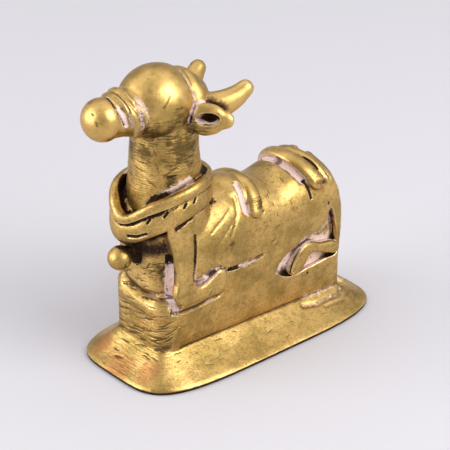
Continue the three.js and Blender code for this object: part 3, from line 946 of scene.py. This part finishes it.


# Wax fills the trench behind the collar's front, a groove runs between its bands with nicks down from it,
# and a line along its underside is pressed in and painted dark, as dirt and painted shadow.
def collarMarks():
    wear = collarWear
    upperAt, upperHalf, lowerAt, lowerHalf = (
        roundTheNeck(collar[band][run]) for band in ("upper", "lower") for run in ("heights", "halfHeights")
    )

    def seam(degrees, drop=0.0):
        under = upperAt(degrees) - upperHalf(degrees)
        over = lowerAt(degrees) + lowerHalf(degrees)
        return tuple(collarPlace(degrees, (under + over) / 2 - drop, wear["grooveOut"]))

    def filling(degrees):
        return tuple(collarPlace(degrees, upperAt(degrees) - wear["fillingUnder"], -wear["fillingIn"]))

    def underside(degrees):
        height = lowerAt(degrees) - lowerHalf(degrees) - wear["dirtAndShadeUnder"]
        return tuple(collarPlace(degrees, height, -wear["dirtAndShadeIn"]))

    def lineFrom(start, placeAt):
        return [placeAt(start + step) for step in wear["steps"]]

    made = []
    for start in wear["fillingAt"]:
        bulge = {"reach": wear["fillingReach"], "depth": -wear["fillingRise"]}
        made.append(dict(bulge, line=lineFrom(start, filling)))
    for start in range(0, 360, wear["stretch"]):
        wide = wear["grooveWidth"] + wear["grooveWaver"] * math.sin(start)
        groove = {"reach": wide, "depth": wear["grooveDepth"], "dark": 0.95, "spread": 0.8 * wide}
        made.append(dict(groove, line=lineFrom(start, seam)))
    # Dirt and painted shadow along the collar's underside, widest at the front.
    for start in range(wear["dirtAndShadeFrom"], wear["dirtAndShadeTo"], wear["stretch"]):
        sideways = min(1, max(0, start) / wear["dirtAndShadeFade"])
        dirtAndShadeReach = mix(wear["dirtAndShadeFront"], wear["dirtAndShadeSide"], sideways)
        dirtAndShade = {"reach": 0.8, "depth": 0.35, "dark": 1, "spread": dirtAndShadeReach}
        made.append(dict(dirtAndShade, line=lineFrom(start, underside)))
    for degrees in wear["nicksAt"]:
        nick = {"reach": 0.4, "depth": 0.35, "dark": 0.9, "spread": 0.36}
        made.append(dict(nick, line=[seam(degrees), seam(degrees - 4, wear["nickDrop"])]))
    return [dict(mark, mirrored=False) for mark in made]


# Places along a mark, drawn onto the surface.
def layMark(line, surface):
    spacing = 0.25
    places = []
    for near, far in zip(line, line[1:]):
        near, far = Vector(near), Vector(far)
        steps = max(1, round((far - near).length / spacing))
        places += [surface.find_nearest(near.lerp(far, step / steps))[0] for step in range(steps + 1)]
    return places


# Balls of space, in millimetres, on both sides of the bull. They say where residue is pink, where the
# hollows take soot and painted shade, where the brass is tarnished, reddish or streaked by files, and where
# hands have smoothed it.
zones = {
    "pinkZone": [
        ((-15, -6, 62), 4), ((-28, -4, 63), 5), ((-33, -4, 63), 4), ((-2, -8, 35), 5), ((15, -6, 37), 5),
        ((14.5, 0, 38), 5), ((-24, -9, 22), 8), ((-14, -9, 20), 5.5), ((-3, -9, 20), 3.6),
        ((16, -10, 19), 11), ((22, -10, 4), 10), ((33, -6, 3), 6), ((-20, -7.2, 45.6), 3.2),
        ((-22.8, -6.6, 44), 3.2), ((-25, -5.6, 42.6), 3), ((22, -9.6, 27), 4.4),
        ((-16.2, -10.8, 58.4), 4.4),
    ],
    # Soot and painted shade: places under the collar, the horn and the rump roll.
    "sootZone": [
        ((-25.5, -7.5, 31), 3.6), ((-29, -4, 30.5), 4.2), ((-30, 0, 31), 4.5), ((-28.5, -2, 27), 3.5),
        ((-19, -10, 34.6), 2), ((-14, -9.6, 37.4), 2.4), ((-10, -7.5, 38.4), 4), ((-12, -8, 59), 3.4),
        ((-23, -8.6, 33.4), 3.4), ((-26, 7, 41), 5), ((-12.6, -6, 46.4), 2.6), ((-29.4, -3, 39), 2.4),
        ((19.4, -9.6, 34.2), 2), ((-29, -7, 37), 1.6), ((-31, -3, 36.6), 2),
    ],
    "tarnishZone": [
        ((-25, -6, 57), 7.5), ((-20, -8, 54), 8), ((-27, -3, 59), 4), ((-17, -7, 58), 5),
        ((-26, -2, 53), 4), ((-21, -7.5, 62), 3.5), ((-26, -7, 26), 5), ((-8, -10, 27.7), 1.6),
        ((-2, -10, 21.5), 1.8), ((1, -9, 35), 3), ((-23, -7, 47), 3),
    ],
    "redZone": [
        ((-33.4, -1, 2.4), 7), ((-31, 8, 3), 6), ((-31, -8, 2), 5), ((-25, -8, 22), 4),
        ((20, -9.4, 33), 3),
    ],
    "streakZone": [
        ((-28, 0, 14), 14), ((-31, 0, 5), 9), ((-28, -3, 24), 6), ((-24, 0, 50), 9), ((-20, -8, 52), 6),
    ],
    "smoothZone": [
        ((-35, 0, 62), 7), ((-21, 0, 66), 10), ((-22, -6, 64), 6), ((-12, -8, 62), 7), ((-5, -7, 64), 7),
        ((1, -3, 38), 7), ((-15, -20, 60), 8), ((18, -2, 39), 7),
    ],
}


# Painted contact shadow: a dark line painted where the rim stands on the table, fading upwards in
# millimetres.
rimContactShadow = {"strength": 1.9, "fade": 0.55}


# The places or normals of a mesh's vertices, one row each.
def vertexRows(mesh, title):
    values = np.empty(len(mesh.vertices) * 3)
    mesh.vertices.foreach_get(title, values)
    return values.reshape(-1, 3)


# Presses the marks into the mesh and paints what they leave behind, residue and on a few marks painted
# shadow, and paints a contact shadow along the rim.
def pressMarks(mesh):
    count = len(mesh.vertices)
    places, normals = vertexRows(mesh, "co"), vertexRows(mesh, "normal")
    whole = bmesh.new()
    whole.from_mesh(mesh)
    surface = BVHTree.FromBMesh(whole)
    whole.free()
    paint = {"pink": np.zeros(count), "dark": np.zeros(count)}
    depth = np.zeros(count)
    for mark in marks + [wallCrease()] + collarMarks():
        spread = mark.get("spread", 1)
        paintReach = max(mark["reach"], 2 * spread)
        for side in (1, -1) if mark.get("mirrored", True) else (1,):
            drawn = np.array(layMark([(x, y * side, z) for x, y, z in mark["line"]], surface))
            low, high = drawn.min(0) - paintReach, drawn.max(0) + paintReach
            indices = np.flatnonzero(np.all((places > low) & (places < high), axis=1))
            distances = np.full(len(indices), paintReach)
            for place in drawn:
                distances = np.minimum(distances, np.linalg.norm(places[indices] - place, axis=1))
            depth[indices] += mark["depth"] * np.clip(1 - (distances / mark["reach"]) ** 2, 0, 1) ** 2
            stain = np.exp(-((distances / spread) ** 2)) * (distances < paintReach)
            for colour in paint:
                paint[colour][indices] = np.maximum(paint[colour][indices], mark.get(colour, 0) * stain)
    # Painted contact shadow along the rim's lower edge.
    rimShadow = np.clip(rimContactShadow["strength"] - places[:, 2] / rimContactShadow["fade"], 0, 1)
    paint["dark"] = np.maximum(paint["dark"], rimShadow)
    for title, balls in zones.items():
        inside = np.zeros(count)
        for centre, radius in balls:
            for mirror in ((1, 1, 1), (1, -1, 1)):
                away = np.linalg.norm(places * mirror - centre, axis=1)
                inside = np.maximum(inside, np.clip(1 - away / radius, 0, 1))
        paint[title] = inside
    places -= normals * depth[:, None]
    mesh.vertices.foreach_set("co", places.ravel())
    for colour, values in paint.items():
        mesh.attributes.new(colour, "FLOAT", "POINT").data.foreach_set("value", values)
    mesh.update()
    return mesh


# Short strokes or pits, scattered over one region and pressed in. Sizes in millimetres.
def buildScoring():
    tree, given = newTree("scoring", [
        ("Middle", "Vector", (0, 0, 0)),
        ("Reach", "Vector", (5, 5, 5)),
        ("Along", "Vector", (1, 0, 0)),
        ("Wander", "Float", 0.3),
        ("Density", "Float", 0.5),
        ("Length", "Float", 3.0),
        ("Width", "Float", 0.3),
        ("Depth", "Float", 0.08),
        ("Bend", "Float", 0.8),
        ("Seed", "Int", 1),
        ("Brass", "Material", None),
    ])
    geometry, seed, along = given["Geometry"], given["Seed"], given["Along"]
    lengths, girths = (0.45, 1.3), (0.6, 1.3)  # the least and most, as shares of the length and width
    position = placeOf(tree)
    shares = ((position - given["Middle"]) / given["Reach"]).apply("ABSOLUTE")
    inside = shares.part("X").atLeast(shares.part("Y")).atLeast(shares.part("Z")).below(1.0)
    scatter = {"Mesh": geometry, "Selection": inside, "Density": given["Density"], "Seed": seed}
    points = addNode(tree, "GeometryNodeDistributePointsOnFaces", scatter)
    normal = points.also("Normal")

    def chance(low, high, seedStep):
        inputs = {"Min": low, "Max": high, "Seed": seed + seedStep}
        return addNode(tree, "FunctionNodeRandomValue", inputs, "Value", data_type="FLOAT")

    # Each stroke lies along the surface, turned a little by chance, and is thinner at its ends.
    tangent = (along - normal.scaled(along.dot(normal))).apply("NORMALIZE")
    sideways = normal.apply("CROSS_PRODUCT", tangent)
    angle = chance(-1.0, 1.0, 11) * given["Wander"]
    way = tangent.scaled(angle.apply("COSINE")) + sideways.scaled(angle.apply("SINE"))
    turn = addNode(tree, "FunctionNodeAlignRotationToVector", {"Vector": way}, axis="X")
    points = store(tree, points, "girth", chance(*girths, 23))
    # In this node's mode the offset is the far end.
    ends = {"Count": 9, "Start Location": (-0.5, 0, 0), "Offset": (0.5, 0, 0)}
    stroke = addNode(tree, "GeometryNodeMeshLine", ends, mode="END_POINTS")
    fromMiddle = position.part("X")
    stroke = store(tree, stroke, "taper", 1.1 - fromMiddle * fromMiddle * 4.0)
    length = given["Length"] * chance(*lengths, 37)
    size = addNode(tree, "ShaderNodeCombineXYZ", {"X": length, "Y": 1.0, "Z": 1.0})
    placing = {"Points": points, "Instance": stroke, "Rotation": turn, "Scale": size}
    strokes = addNode(tree, "GeometryNodeInstanceOnPoints", placing)
    strokes = addNode(tree, "GeometryNodeRealizeInstances", {"Geometry": strokes})
    bend = addNode(tree, "ShaderNodeTexNoise", {"Vector": position, "Scale": 0.55, "Detail": 1.0}, "Color")
    strokes = move(tree, strokes, (bend - (0.5, 0.5, 0.5)).scaled(given["Bend"]))
    onSkin = addNode(tree, "GeometryNodeProximity", {0: geometry}, "Position", target_element="FACES")
    strokes = addNode(tree, "GeometryNodeSetPosition", {"Geometry": strokes, "Position": onSkin})

    # The skin gives way by how near the nearest stroke is.
    distance = addNode(tree, "GeometryNodeProximity", {0: strokes}, "Distance", target_element="EDGES")
    nearest = addNode(tree, "GeometryNodeSampleNearest", {"Geometry": strokes}, domain="POINT")
    sampled = {"Geometry": strokes, "Value": stored(tree, "girth") * stored(tree, "taper"), "Index": nearest}
    girthHere = addNode(tree, "GeometryNodeSampleIndex", sampled, data_type="FLOAT", domain="POINT")
    reach = (given["Width"] * girthHere).atLeast(0.02)
    part = (distance / reach).atMost(1.0)
    falloff = (1.0 - part * part).apply("POWER", 2.0)
    geometry = store(tree, geometry, "scored", stored(tree, "scored").atLeast(falloff))
    skinNormal = addNode(tree, "GeometryNodeInputNormal")
    geometry = move(tree, geometry, skinNormal.scaled(falloff * given["Depth"] * -1.0))
    return endTree(tree, geometry, given["Brass"])


# Where files, knives and gas bubbles have scored the casting.
scoring = {
    "front wall": {"Middle": (-28.5, 0, 14), "Reach": (4, 9, 7), "Along": (0, 1, -0.2), "Wander": 0.16,
                   "Density": 0.2, "Length": 5.4, "Width": 0.32, "Depth": 0.12},
    "front flare": {"Middle": (-30, -1, 6), "Reach": (5, 7, 3), "Along": (0, 1, -0.15), "Wander": 0.15,
                    "Density": 0.12, "Length": 4.0, "Width": 0.32, "Depth": 0.1},
    "chest": {"Middle": (-28, 0, 25), "Reach": (5, 8, 5), "Along": (0.4, 1, -0.5), "Wander": 0.4,
              "Density": 0.2, "Length": 2.8, "Width": 0.3, "Depth": 0.08},
    "neck": {"Middle": (-22, 0, 52), "Reach": (9, 9, 6), "Along": (0.8, 0.8, 0.15), "Wander": 0.25,
             "Density": 0.08, "Length": 3.6, "Width": 0.28, "Depth": 0.05},
    "back": {"Middle": (8, 0, 36), "Reach": (5, 12, 6), "Along": (0, 1, 0), "Wander": 0.4,
             "Density": 0.08, "Length": 1.8, "Width": 0.3, "Depth": 0.04},
    "flanks": {"Middle": (4, 0, 24), "Reach": (22, 12, 10), "Along": (1, 0, 0.6), "Wander": 0.35,
               "Density": 0.016, "Length": 1.8, "Width": 0.26, "Depth": 0.03},
    "foot": {"Middle": (4, 0, 4), "Reach": (31, 18, 3.4), "Along": (1, 0, 0), "Wander": 0.3,
             "Density": 0.018, "Length": 2.4, "Width": 0.26, "Depth": 0.03},
    "pores": {"Middle": (-24.8, 0, 24), "Reach": (1.3, 10, 7), "Along": (1, 0, 0), "Wander": 1.5,
              "Density": 1.2, "Length": 0.05, "Width": 0.36, "Depth": 0.16, "Bend": 0},
    "pits": {"Middle": (0, 0, 26), "Reach": (40, 20, 26), "Along": (1, 0, 0), "Wander": 1.5,
             "Density": 0.018, "Length": 0.05, "Width": 0.4, "Depth": 0.12, "Bend": 0},
}


# Unevenness of hand-worked wax, less where hands have smoothed it, and how hollow each place is.
def buildCastSkin():
    tree, given = newTree("castSkin", [
        ("Swell", "Float", 0.13),
        ("Swell Size", "Float", 6.0),
        ("Ripple", "Float", 0.035),
        ("Ripple Size", "Float", 1.7),
        ("Foot Fade", "Float", 0.8),
        ("Most Smoothed", "Float", 0.7),
        ("Blur", "Int", 5),
        ("Brass", "Material", None),
    ])
    position = placeOf(tree)
    normal = addNode(tree, "GeometryNodeInputNormal")

    def lift(title):
        inputs = {"Vector": position, "Scale": 1.0 / given[title + " Size"], "Detail": 2.0}
        return (addNode(tree, "ShaderNodeTexNoise", inputs) - 0.5) * (given[title] * 2.0)

    offUnderside = (position.part("Z") * given["Foot Fade"]).clamped()
    handled = (stored(tree, "smoothZone") * 2.0).atMost(given["Most Smoothed"])
    height = (lift("Swell") + lift("Ripple")) * (offUnderside * (1.0 - handled))
    geometry = move(tree, given["Geometry"], normal.scaled(height))
    inputs = {"Value": position, "Iterations": given["Blur"]}
    blurred = addNode(tree, "GeometryNodeBlurAttribute", inputs, "Value", data_type="FLOAT_VECTOR")
    geometry = store(tree, geometry, "hollow", (blurred - position).dot(normal))
    return endTree(tree, geometry, given["Brass"])


# How shut in each place is: the share of the ways out of it that meet the figure again close by. The shader
# paints shade from it.
def buildLookAround():
    tree, given = newTree("lookAround", [
        ("Near", "Float", 2.2),
        ("Far", "Float", 8.0),
        ("Lift", "Float", 0.15),
        ("Brass", "Material", None),
    ])
    geometry = given["Geometry"]
    normal = addNode(tree, "GeometryNodeInputNormal")
    start = placeOf(tree) + normal.scaled(given["Lift"])
    rays = 56
    goldenTurn = math.pi * (3 - math.sqrt(5))
    facings, nears, fars = [], [], []
    for ray in range(rays):
        up = 1 - (2 * ray + 1) / rays
        flat = math.sqrt(1 - up * up)
        way = (flat * math.cos(goldenTurn * ray), flat * math.sin(goldenTurn * ray), up)
        facing = normal.dot(way).atLeast(0.0)
        cast = {"Target Geometry": geometry, "Source Position": start, "Ray Direction": way}
        isHit = addNode(tree, "GeometryNodeRaycast", dict(cast, **{"Ray Length": given["Far"]}), "Is Hit")
        distance = isHit.also("Hit Distance")
        facings.append(facing)
        nears.append(facing * isHit * distance.below(given["Near"]))
        fars.append(facing * isHit * (1.0 - distance / given["Far"]))
    for title, shares in (("shutNear", nears), ("shutFar", fars)):
        geometry = store(tree, geometry, title, sum(shares) / sum(facings))
    return endTree(tree, geometry, given["Brass"])


# Scores the cast surface, thins its mesh and finds its hollows. The result is in metres.
def finishSurface(mesh):
    scoringTree = buildScoring()
    chain = []
    for number, settings in enumerate(scoring.values()):
        inputs = dict(settings, Seed=number * 100 + 7, Brass=brass)
        chain.append(("NODES", {"node_group": scoringTree, "inputs": inputs}))
    chain.append(("NODES", {"node_group": buildCastSkin(), "inputs": {"Brass": brass}}))
    mesh = shapeWith(mesh, chain)
    print("scored:", len(mesh.polygons), "faces")
    triangles = sum(len(face.vertices) - 2 for face in mesh.polygons)
    mesh = shapeWith(mesh, [
        ("DECIMATE", {"ratio": modelling["triangles"] / triangles}),
        ("NODES", {"node_group": buildLookAround(), "inputs": {"Brass": brass}}),
    ])
    mesh.transform(Matrix.Scale(millimetre, 4))
    inBox = np.clip(vertexRows(mesh, "co"), cadBox[0], cadBox[1])  # stays inside the solid's box
    mesh.vertices.foreach_set("co", inBox.ravel())
    print("decimated:", len(mesh.polygons), "faces")
    return mesh


def placeCasting():
    mesh = pressMarks(buildCasting())
    print("casting:", len(mesh.polygons), "faces")
    mesh = finishSurface(mesh)
    mesh.name = "nandi_bull"
    mesh.materials.clear()
    mesh.materials.append(brass)
    mesh.shade_smooth()
    bull = addObject("nandi_bull", mesh)
    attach(bull, "root")
    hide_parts(castingNode)


placeCasting()

# Worn brass: golden where hands rub it, olive elsewhere, dark brown and mauve residue in the hollows, which
# are darkened further as painted shade.
finish = {
    "bright": (0.95, 0.76, 0.43, 1),
    "golden": (0.7, 0.47, 0.175, 1),
    "olive": (0.46, 0.315, 0.105, 1),
    "tarnish": (0.13, 0.09, 0.032, 1),
    "soot": (0.022, 0.011, 0.006, 1),
    "umber": (0.09, 0.045, 0.025, 1),
    "mauve": (0.28, 0.17, 0.13, 1),
    "palePink": (0.88, 0.69, 0.62, 1),
    "copper": (0.42, 0.18, 0.07, 1),
}
# Each texture's scale per millimetre, detail, roughness, stretch, lean in radians and distortion.
textures = {
    "patches": (0.16, 3, 0.5, (1, 1, 1), 0, 0),
    "mottle": (0.8, 4, 0.6, (1, 1, 1), 0, 0),
    "blotch": (0.42, 4, 0.62, (1, 1, 1), 0, 0),
    "grain": (4.2, 3, 0.65, (1, 1, 1), 0, 0),
    "speckle": (1.9, 4, 0.7, (1, 1, 1), 0, 0),
    "fileLines": (1.0, 3, 0.6, (0.3, 0.3, 3.4), 0, 0.5),
    "rubLines": (1.0, 2, 0.6, (2.2, 6, 0.5), 0.5, 0.3),
}


# The fields that colour the brass: its textures, and what was stored on the mesh.
def surfaceFields(tree):
    place = addNode(tree, "ShaderNodeTexCoord", output="Object")
    fields = SimpleNamespace()
    for name, (scale, detail, roughness, stretch, lean, distortion) in textures.items():
        vector = place
        if lean:
            vector = addNode(tree, "ShaderNodeMapping", {"Vector": vector, "Rotation": (0, lean, 0)})
        perMetre = tuple(part / millimetre for part in stretch)
        vector = addNode(tree, "ShaderNodeMapping", {"Vector": vector, "Scale": perMetre})
        inputs = {"Vector": vector, "Scale": scale, "Detail": detail, "Roughness": roughness,
                  "Distortion": distortion}
        setattr(fields, name, addNode(tree, "ShaderNodeTexNoise", inputs))
    for name in ("hollow", "shutNear", "shutFar", "scored", "pink", "dark", *zones):
        painted = addNode(tree, "ShaderNodeAttribute", output="Fac", attribute_name=name)
        setattr(fields, name, painted)
    return fields


# Where dirt and residue lie, and how thick, and where painted shade darkens the shut-in hollows.
def findResidue(look):
    look.uneven = look.mottle.swing(0.6) + look.speckle.swing(0.6)
    # How shut in each place is; below it darkens the hollows as painted shade.
    look.shut = look.shutNear * 0.75 + look.shutFar * 0.7 + look.hollow * 1.6
    uneven = look.uneven * 0.5
    # Soot in the listed zones, kept to shut-in places: soot and painted shade.
    sooty = (look.sootZone + uneven).mapped(0.05, 0.4) * (look.shut + uneven).mapped(0.08, 0.3)
    pinkish = (look.pinkZone + look.blotch.swing(0.4)).mapped(0.1, 0.35) * sooty.mapped(0, 1, 1, 0.2)
    # Hollows darkened by how shut in they are: dirt and painted shade.
    dirtAndShadeInHollows = (look.shut + look.uneven + sooty * 0.25).mapped(0.34, 0.72)
    darkLine = (look.dark + look.uneven * 0.9).mapped(0.35, 0.85)
    soot = dirtAndShadeInHollows * pinkish.mapped(0, 1, 1, 0.35, False) + darkLine + sooty * 0.75
    look.soot = soot.mapped(0.1, 0.95)
    inHollow = pinkish * (look.shut + look.uneven * 0.8).mapped(0.14, 0.4)
    look.residue = (look.pink + look.uneven * 1.7).mapped(0.32, 0.85).atLeast(inHollow)


# The metal's own colour: worn ridges bright, a speckled film, tarnish and a red tinge.
def metalColour(look):
    look.rubbed = 1.0 - look.smoothZone.mapped(0.05, 0.4) * 0.8
    look.streaky = look.streakZone.mapped(0.0, 0.3)
    look.ridge = (look.hollow * -1.0).mapped(0.015, 0.1)
    tone = (look.patches + look.mottle.swing(0.3)).mapped(0.3, 0.66)
    colour = tone.between(finish["olive"], finish["golden"])
    streaks = (look.fileLines - 0.5) * look.streaky.mapped(0, 1, 0.3, 1.6, False)
    film = look.speckle.swing(1.0) + look.grain.swing(0.9) + look.mottle.swing(0.3) + streaks
    film = film.mapped(-0.34, 0.14, 0.5, 0.0) * look.rubbed.mapped(0.2, 1, 0.12, 1)
    colour = film.between(colour, finish["tarnish"])
    colour = (look.ridge * 0.8).between(colour, finish["bright"])
    thick = (look.tarnishZone + look.blotch.swing(1.6) + look.fileLines.swing(1.8)).mapped(0.26, 0.85)
    thin = (look.blotch + look.speckle.swing(0.8)).mapped(0.6, 0.85)
    look.tarnish = (thick * 0.92).atLeast(thin * look.rubbed * 0.35)
    colour = look.tarnish.between(colour, finish["tarnish"])
    red = (look.redZone + look.mottle.swing(1.2)).mapped(0.3, 0.8)
    return (red * 0.62).between(colour, finish["copper"])


# Lays the stain round the marks, the pink residue, the scores and the dirt over the metal; stain, residue
# and dirt are darker where the surface is shut in, as painted shade.
def residueColour(look, colour):
    look.specks = look.speckle.mapped(0.37, 0.29) * look.rubbed
    look.scratches = look.rubLines.mapped(0.34, 0.26) * look.rubbed
    scored = (look.scored + look.uneven * 0.8).mapped(0.3, 0.8)
    look.marked = scored.atLeast(look.specks * 0.75).atLeast(look.scratches * 0.5)
    # Umber stain round the marks, deepened where shut in as painted shade.
    stainAndShade = look.dark.atLeast(look.pink * 0.8) + look.shut * 0.5 + look.uneven * 1.2
    colour = stainAndShade.mapped(0.12, 0.6, 0.0, 0.75).between(colour, finish["umber"])
    # Residue pale pink in the open and darker mauve where shut in: painted shade.
    shade = look.shut * 0.9 + look.grain.swing(0.8) + look.speckle.swing(0.8)
    shade = shade.mapped(0.3, 0.95).between(finish["palePink"], finish["mauve"])
    colour = (look.residue * 0.9).between(colour, shade)
    colour = (look.marked * 0.7).between(colour, finish["soot"])
    # The dark overlay's colour, for dirt and painted shade.
    dirtAndShade = (look.speckle + look.grain * 0.4).mapped(0.6, 0.9)
    dirtAndShade = dirtAndShade.between(finish["soot"], finish["umber"])
    return look.soot.between(colour, dirtAndShade)


# The height of the fine relief, in millimetres.
def fineRelief(look):
    lines = look.fileLines * look.rubbed * (look.streaky * 0.14 + 0.03)
    grains = look.mottle * 0.03 + look.grain * look.rubbed * 0.014 + look.speckle * look.rubbed * 0.018
    scores = look.rubLines * look.rubbed * 0.015 + look.specks * -0.05 + look.scratches * -0.03
    return grains + lines + scores + look.residue * look.grain * 0.06


def buildWornBrass():
    brass.use_nodes = True
    tree = brass.node_tree
    look = surfaceFields(tree)
    findResidue(look)
    colour = residueColour(look, metalColour(look))
    dull = (look.soot + look.residue * 0.95 + look.marked * 0.5).clamped()
    bump = {"Height": fineRelief(look), "Distance": millimetre, "Strength": 1.0}
    rough = look.mottle.mapped(0.3, 0.7, 0.3, 0.4) + look.tarnish * 0.12
    inputs = {
        "Base Color": colour,
        "Metallic": dull.mapped(0, 1, 1.0, 0.1, False),
        "Specular IOR Level": dull.mapped(0, 1, 0.5, 0.15, False),
        "Roughness": rough + dull * 0.3 + look.ridge * -0.05,
        "Normal": addNode(tree, "ShaderNodeBump", bump),
    }
    for title, value in inputs.items():
        setInput(tree.nodes["Principled BSDF"].inputs[title], value)


buildWornBrass()

# The camera stands above the bull's left front. Distances in metres, angles in degrees.
view = {
    "azimuth": 41.5,
    "elevation": 27.0,
    "distance": 0.38,
    "target": Vector((-0.0041, -0.0029, 0.0287)),
    "lens": 135.1,
    "sensor": 36,
}
turn, rise = math.radians(view["azimuth"]), math.radians(view["elevation"])
towardsCamera = Vector((-math.sin(turn) * math.cos(rise), -math.cos(turn) * math.cos(rise), math.sin(rise)))
rightward = Vector((math.cos(turn), -math.sin(turn), 0))
away = Vector((math.sin(turn), math.cos(turn), 0))


# Stands an object off the target in one direction, looking back at it.
def aim(thing, way, distance):
    thing.location = view["target"] + way * distance
    thing.rotation_euler = way.to_track_quat("Z", "Y").to_euler()


def placeCamera():
    lens = bpy.data.cameras.new("camera")
    lens.lens = view["lens"]
    lens.sensor_width = view["sensor"]
    camera = addObject("camera", lens)
    aim(camera, towardsCamera, view["distance"])
    bpy.context.scene.camera = camera


placeCamera()

# A paper sweep: flat under the figure, rising in a wide curve behind it. Lengths in metres.
paper = {
    "reach": 1.2,
    "bendStart": 0.6,
    "bendRadius": 0.5,
    "bendSteps": 12,
    "top": 1.4,
    "colour": (0.585, 0.57, 0.59, 1),
    "roughness": 0.85,
    "specular": 0.2,
}


def layPaper():
    reach, start, radius = paper["reach"], paper["bendStart"], paper["bendRadius"]
    profile = [(-reach, 0), (start, 0)]
    for step in range(1, paper["bendSteps"] + 1):
        bend = math.pi / 2 * step / paper["bendSteps"]
        profile.append((start + radius * math.sin(bend), radius * (1 - math.cos(bend))))
    profile.append((start + radius, paper["top"]))
    points = []
    for out, up in profile:
        points += [away * out + rightward * side + Vector((0, 0, up)) for side in (-reach, reach)]
    faces = [(2 * i, 2 * i + 1, 2 * i + 3, 2 * i + 2) for i in range(len(profile) - 1)]
    mesh = bpy.data.meshes.new("paper_sweep")
    mesh.from_pydata(points, [], faces)
    turnOutwards(mesh)
    mesh.shade_smooth()
    palePaper = bpy.data.materials.new("pale_paper")
    palePaper.use_nodes = True
    shader = palePaper.node_tree.nodes["Principled BSDF"]
    shader.inputs["Base Color"].default_value = paper["colour"]
    shader.inputs["Roughness"].default_value = paper["roughness"]
    shader.inputs["Specular IOR Level"].default_value = paper["specular"]
    mesh.materials.append(palePaper)
    addObject("paper_sweep", mesh)


layPaper()

# Daylight from all round, and a dimmer room behind the camera.
studio = {
    "sky": (0.86, 0.87, 0.92, 1),
    "room": (0.6, 0.59, 0.6, 1),
    "strength": 0.88,
    "roomRise": 0.2,  # how far the middle of the room stands up for each unit out
    "roomEdge": (0.35, 0.9),  # where the sky gives way to the room, and where only the room is seen
}


def buildStudio():
    world = bpy.data.worlds.new("studio")
    world.use_nodes = True
    tree = world.node_tree
    background = tree.nodes["Background"]
    roomWay = (-away.x, -away.y, studio["roomRise"])
    facing = addNode(tree, "ShaderNodeTexCoord", output="Generated").dot(roomWay)
    light = facing.mapped(*studio["roomEdge"]).between(studio["sky"], studio["room"])
    setInput(background.inputs["Color"], light)
    background.inputs["Strength"].default_value = studio["strength"]
    bpy.context.scene.world = world
    bpy.context.scene.view_settings.view_transform = "Standard"
    bpy.context.scene.view_settings.look = "Medium High Contrast"


buildStudio()

# Each softbox stands right of, above and towards the camera from the figure. Metres and watts.
softboxes = {
    "keySoftbox": {"way": (0.68, 0.34, 0.62), "distance": 0.7, "size": (0.5, 0.55), "power": 3.0},
    "topSoftbox": {"way": (-0.1, 0.95, 0.1), "distance": 1.0, "size": (1.5, 1.1), "power": 1.5},
    "leftFill": {"way": (-0.9, 0.1, 0.35), "distance": 0.9, "size": (0.9, 0.9), "power": 5.4},
}
for title, softbox in softboxes.items():
    light = bpy.data.lights.new(title, "AREA")
    light.shape = "RECTANGLE"
    light.size, light.size_y = softbox["size"]
    light.energy = softbox["power"]
    right, up, near = softbox["way"]
    way = rightward * right + towardsCamera.cross(rightward) * up + towardsCamera * near
    aim(addObject(title, light), way.normalized(), softbox["distance"])
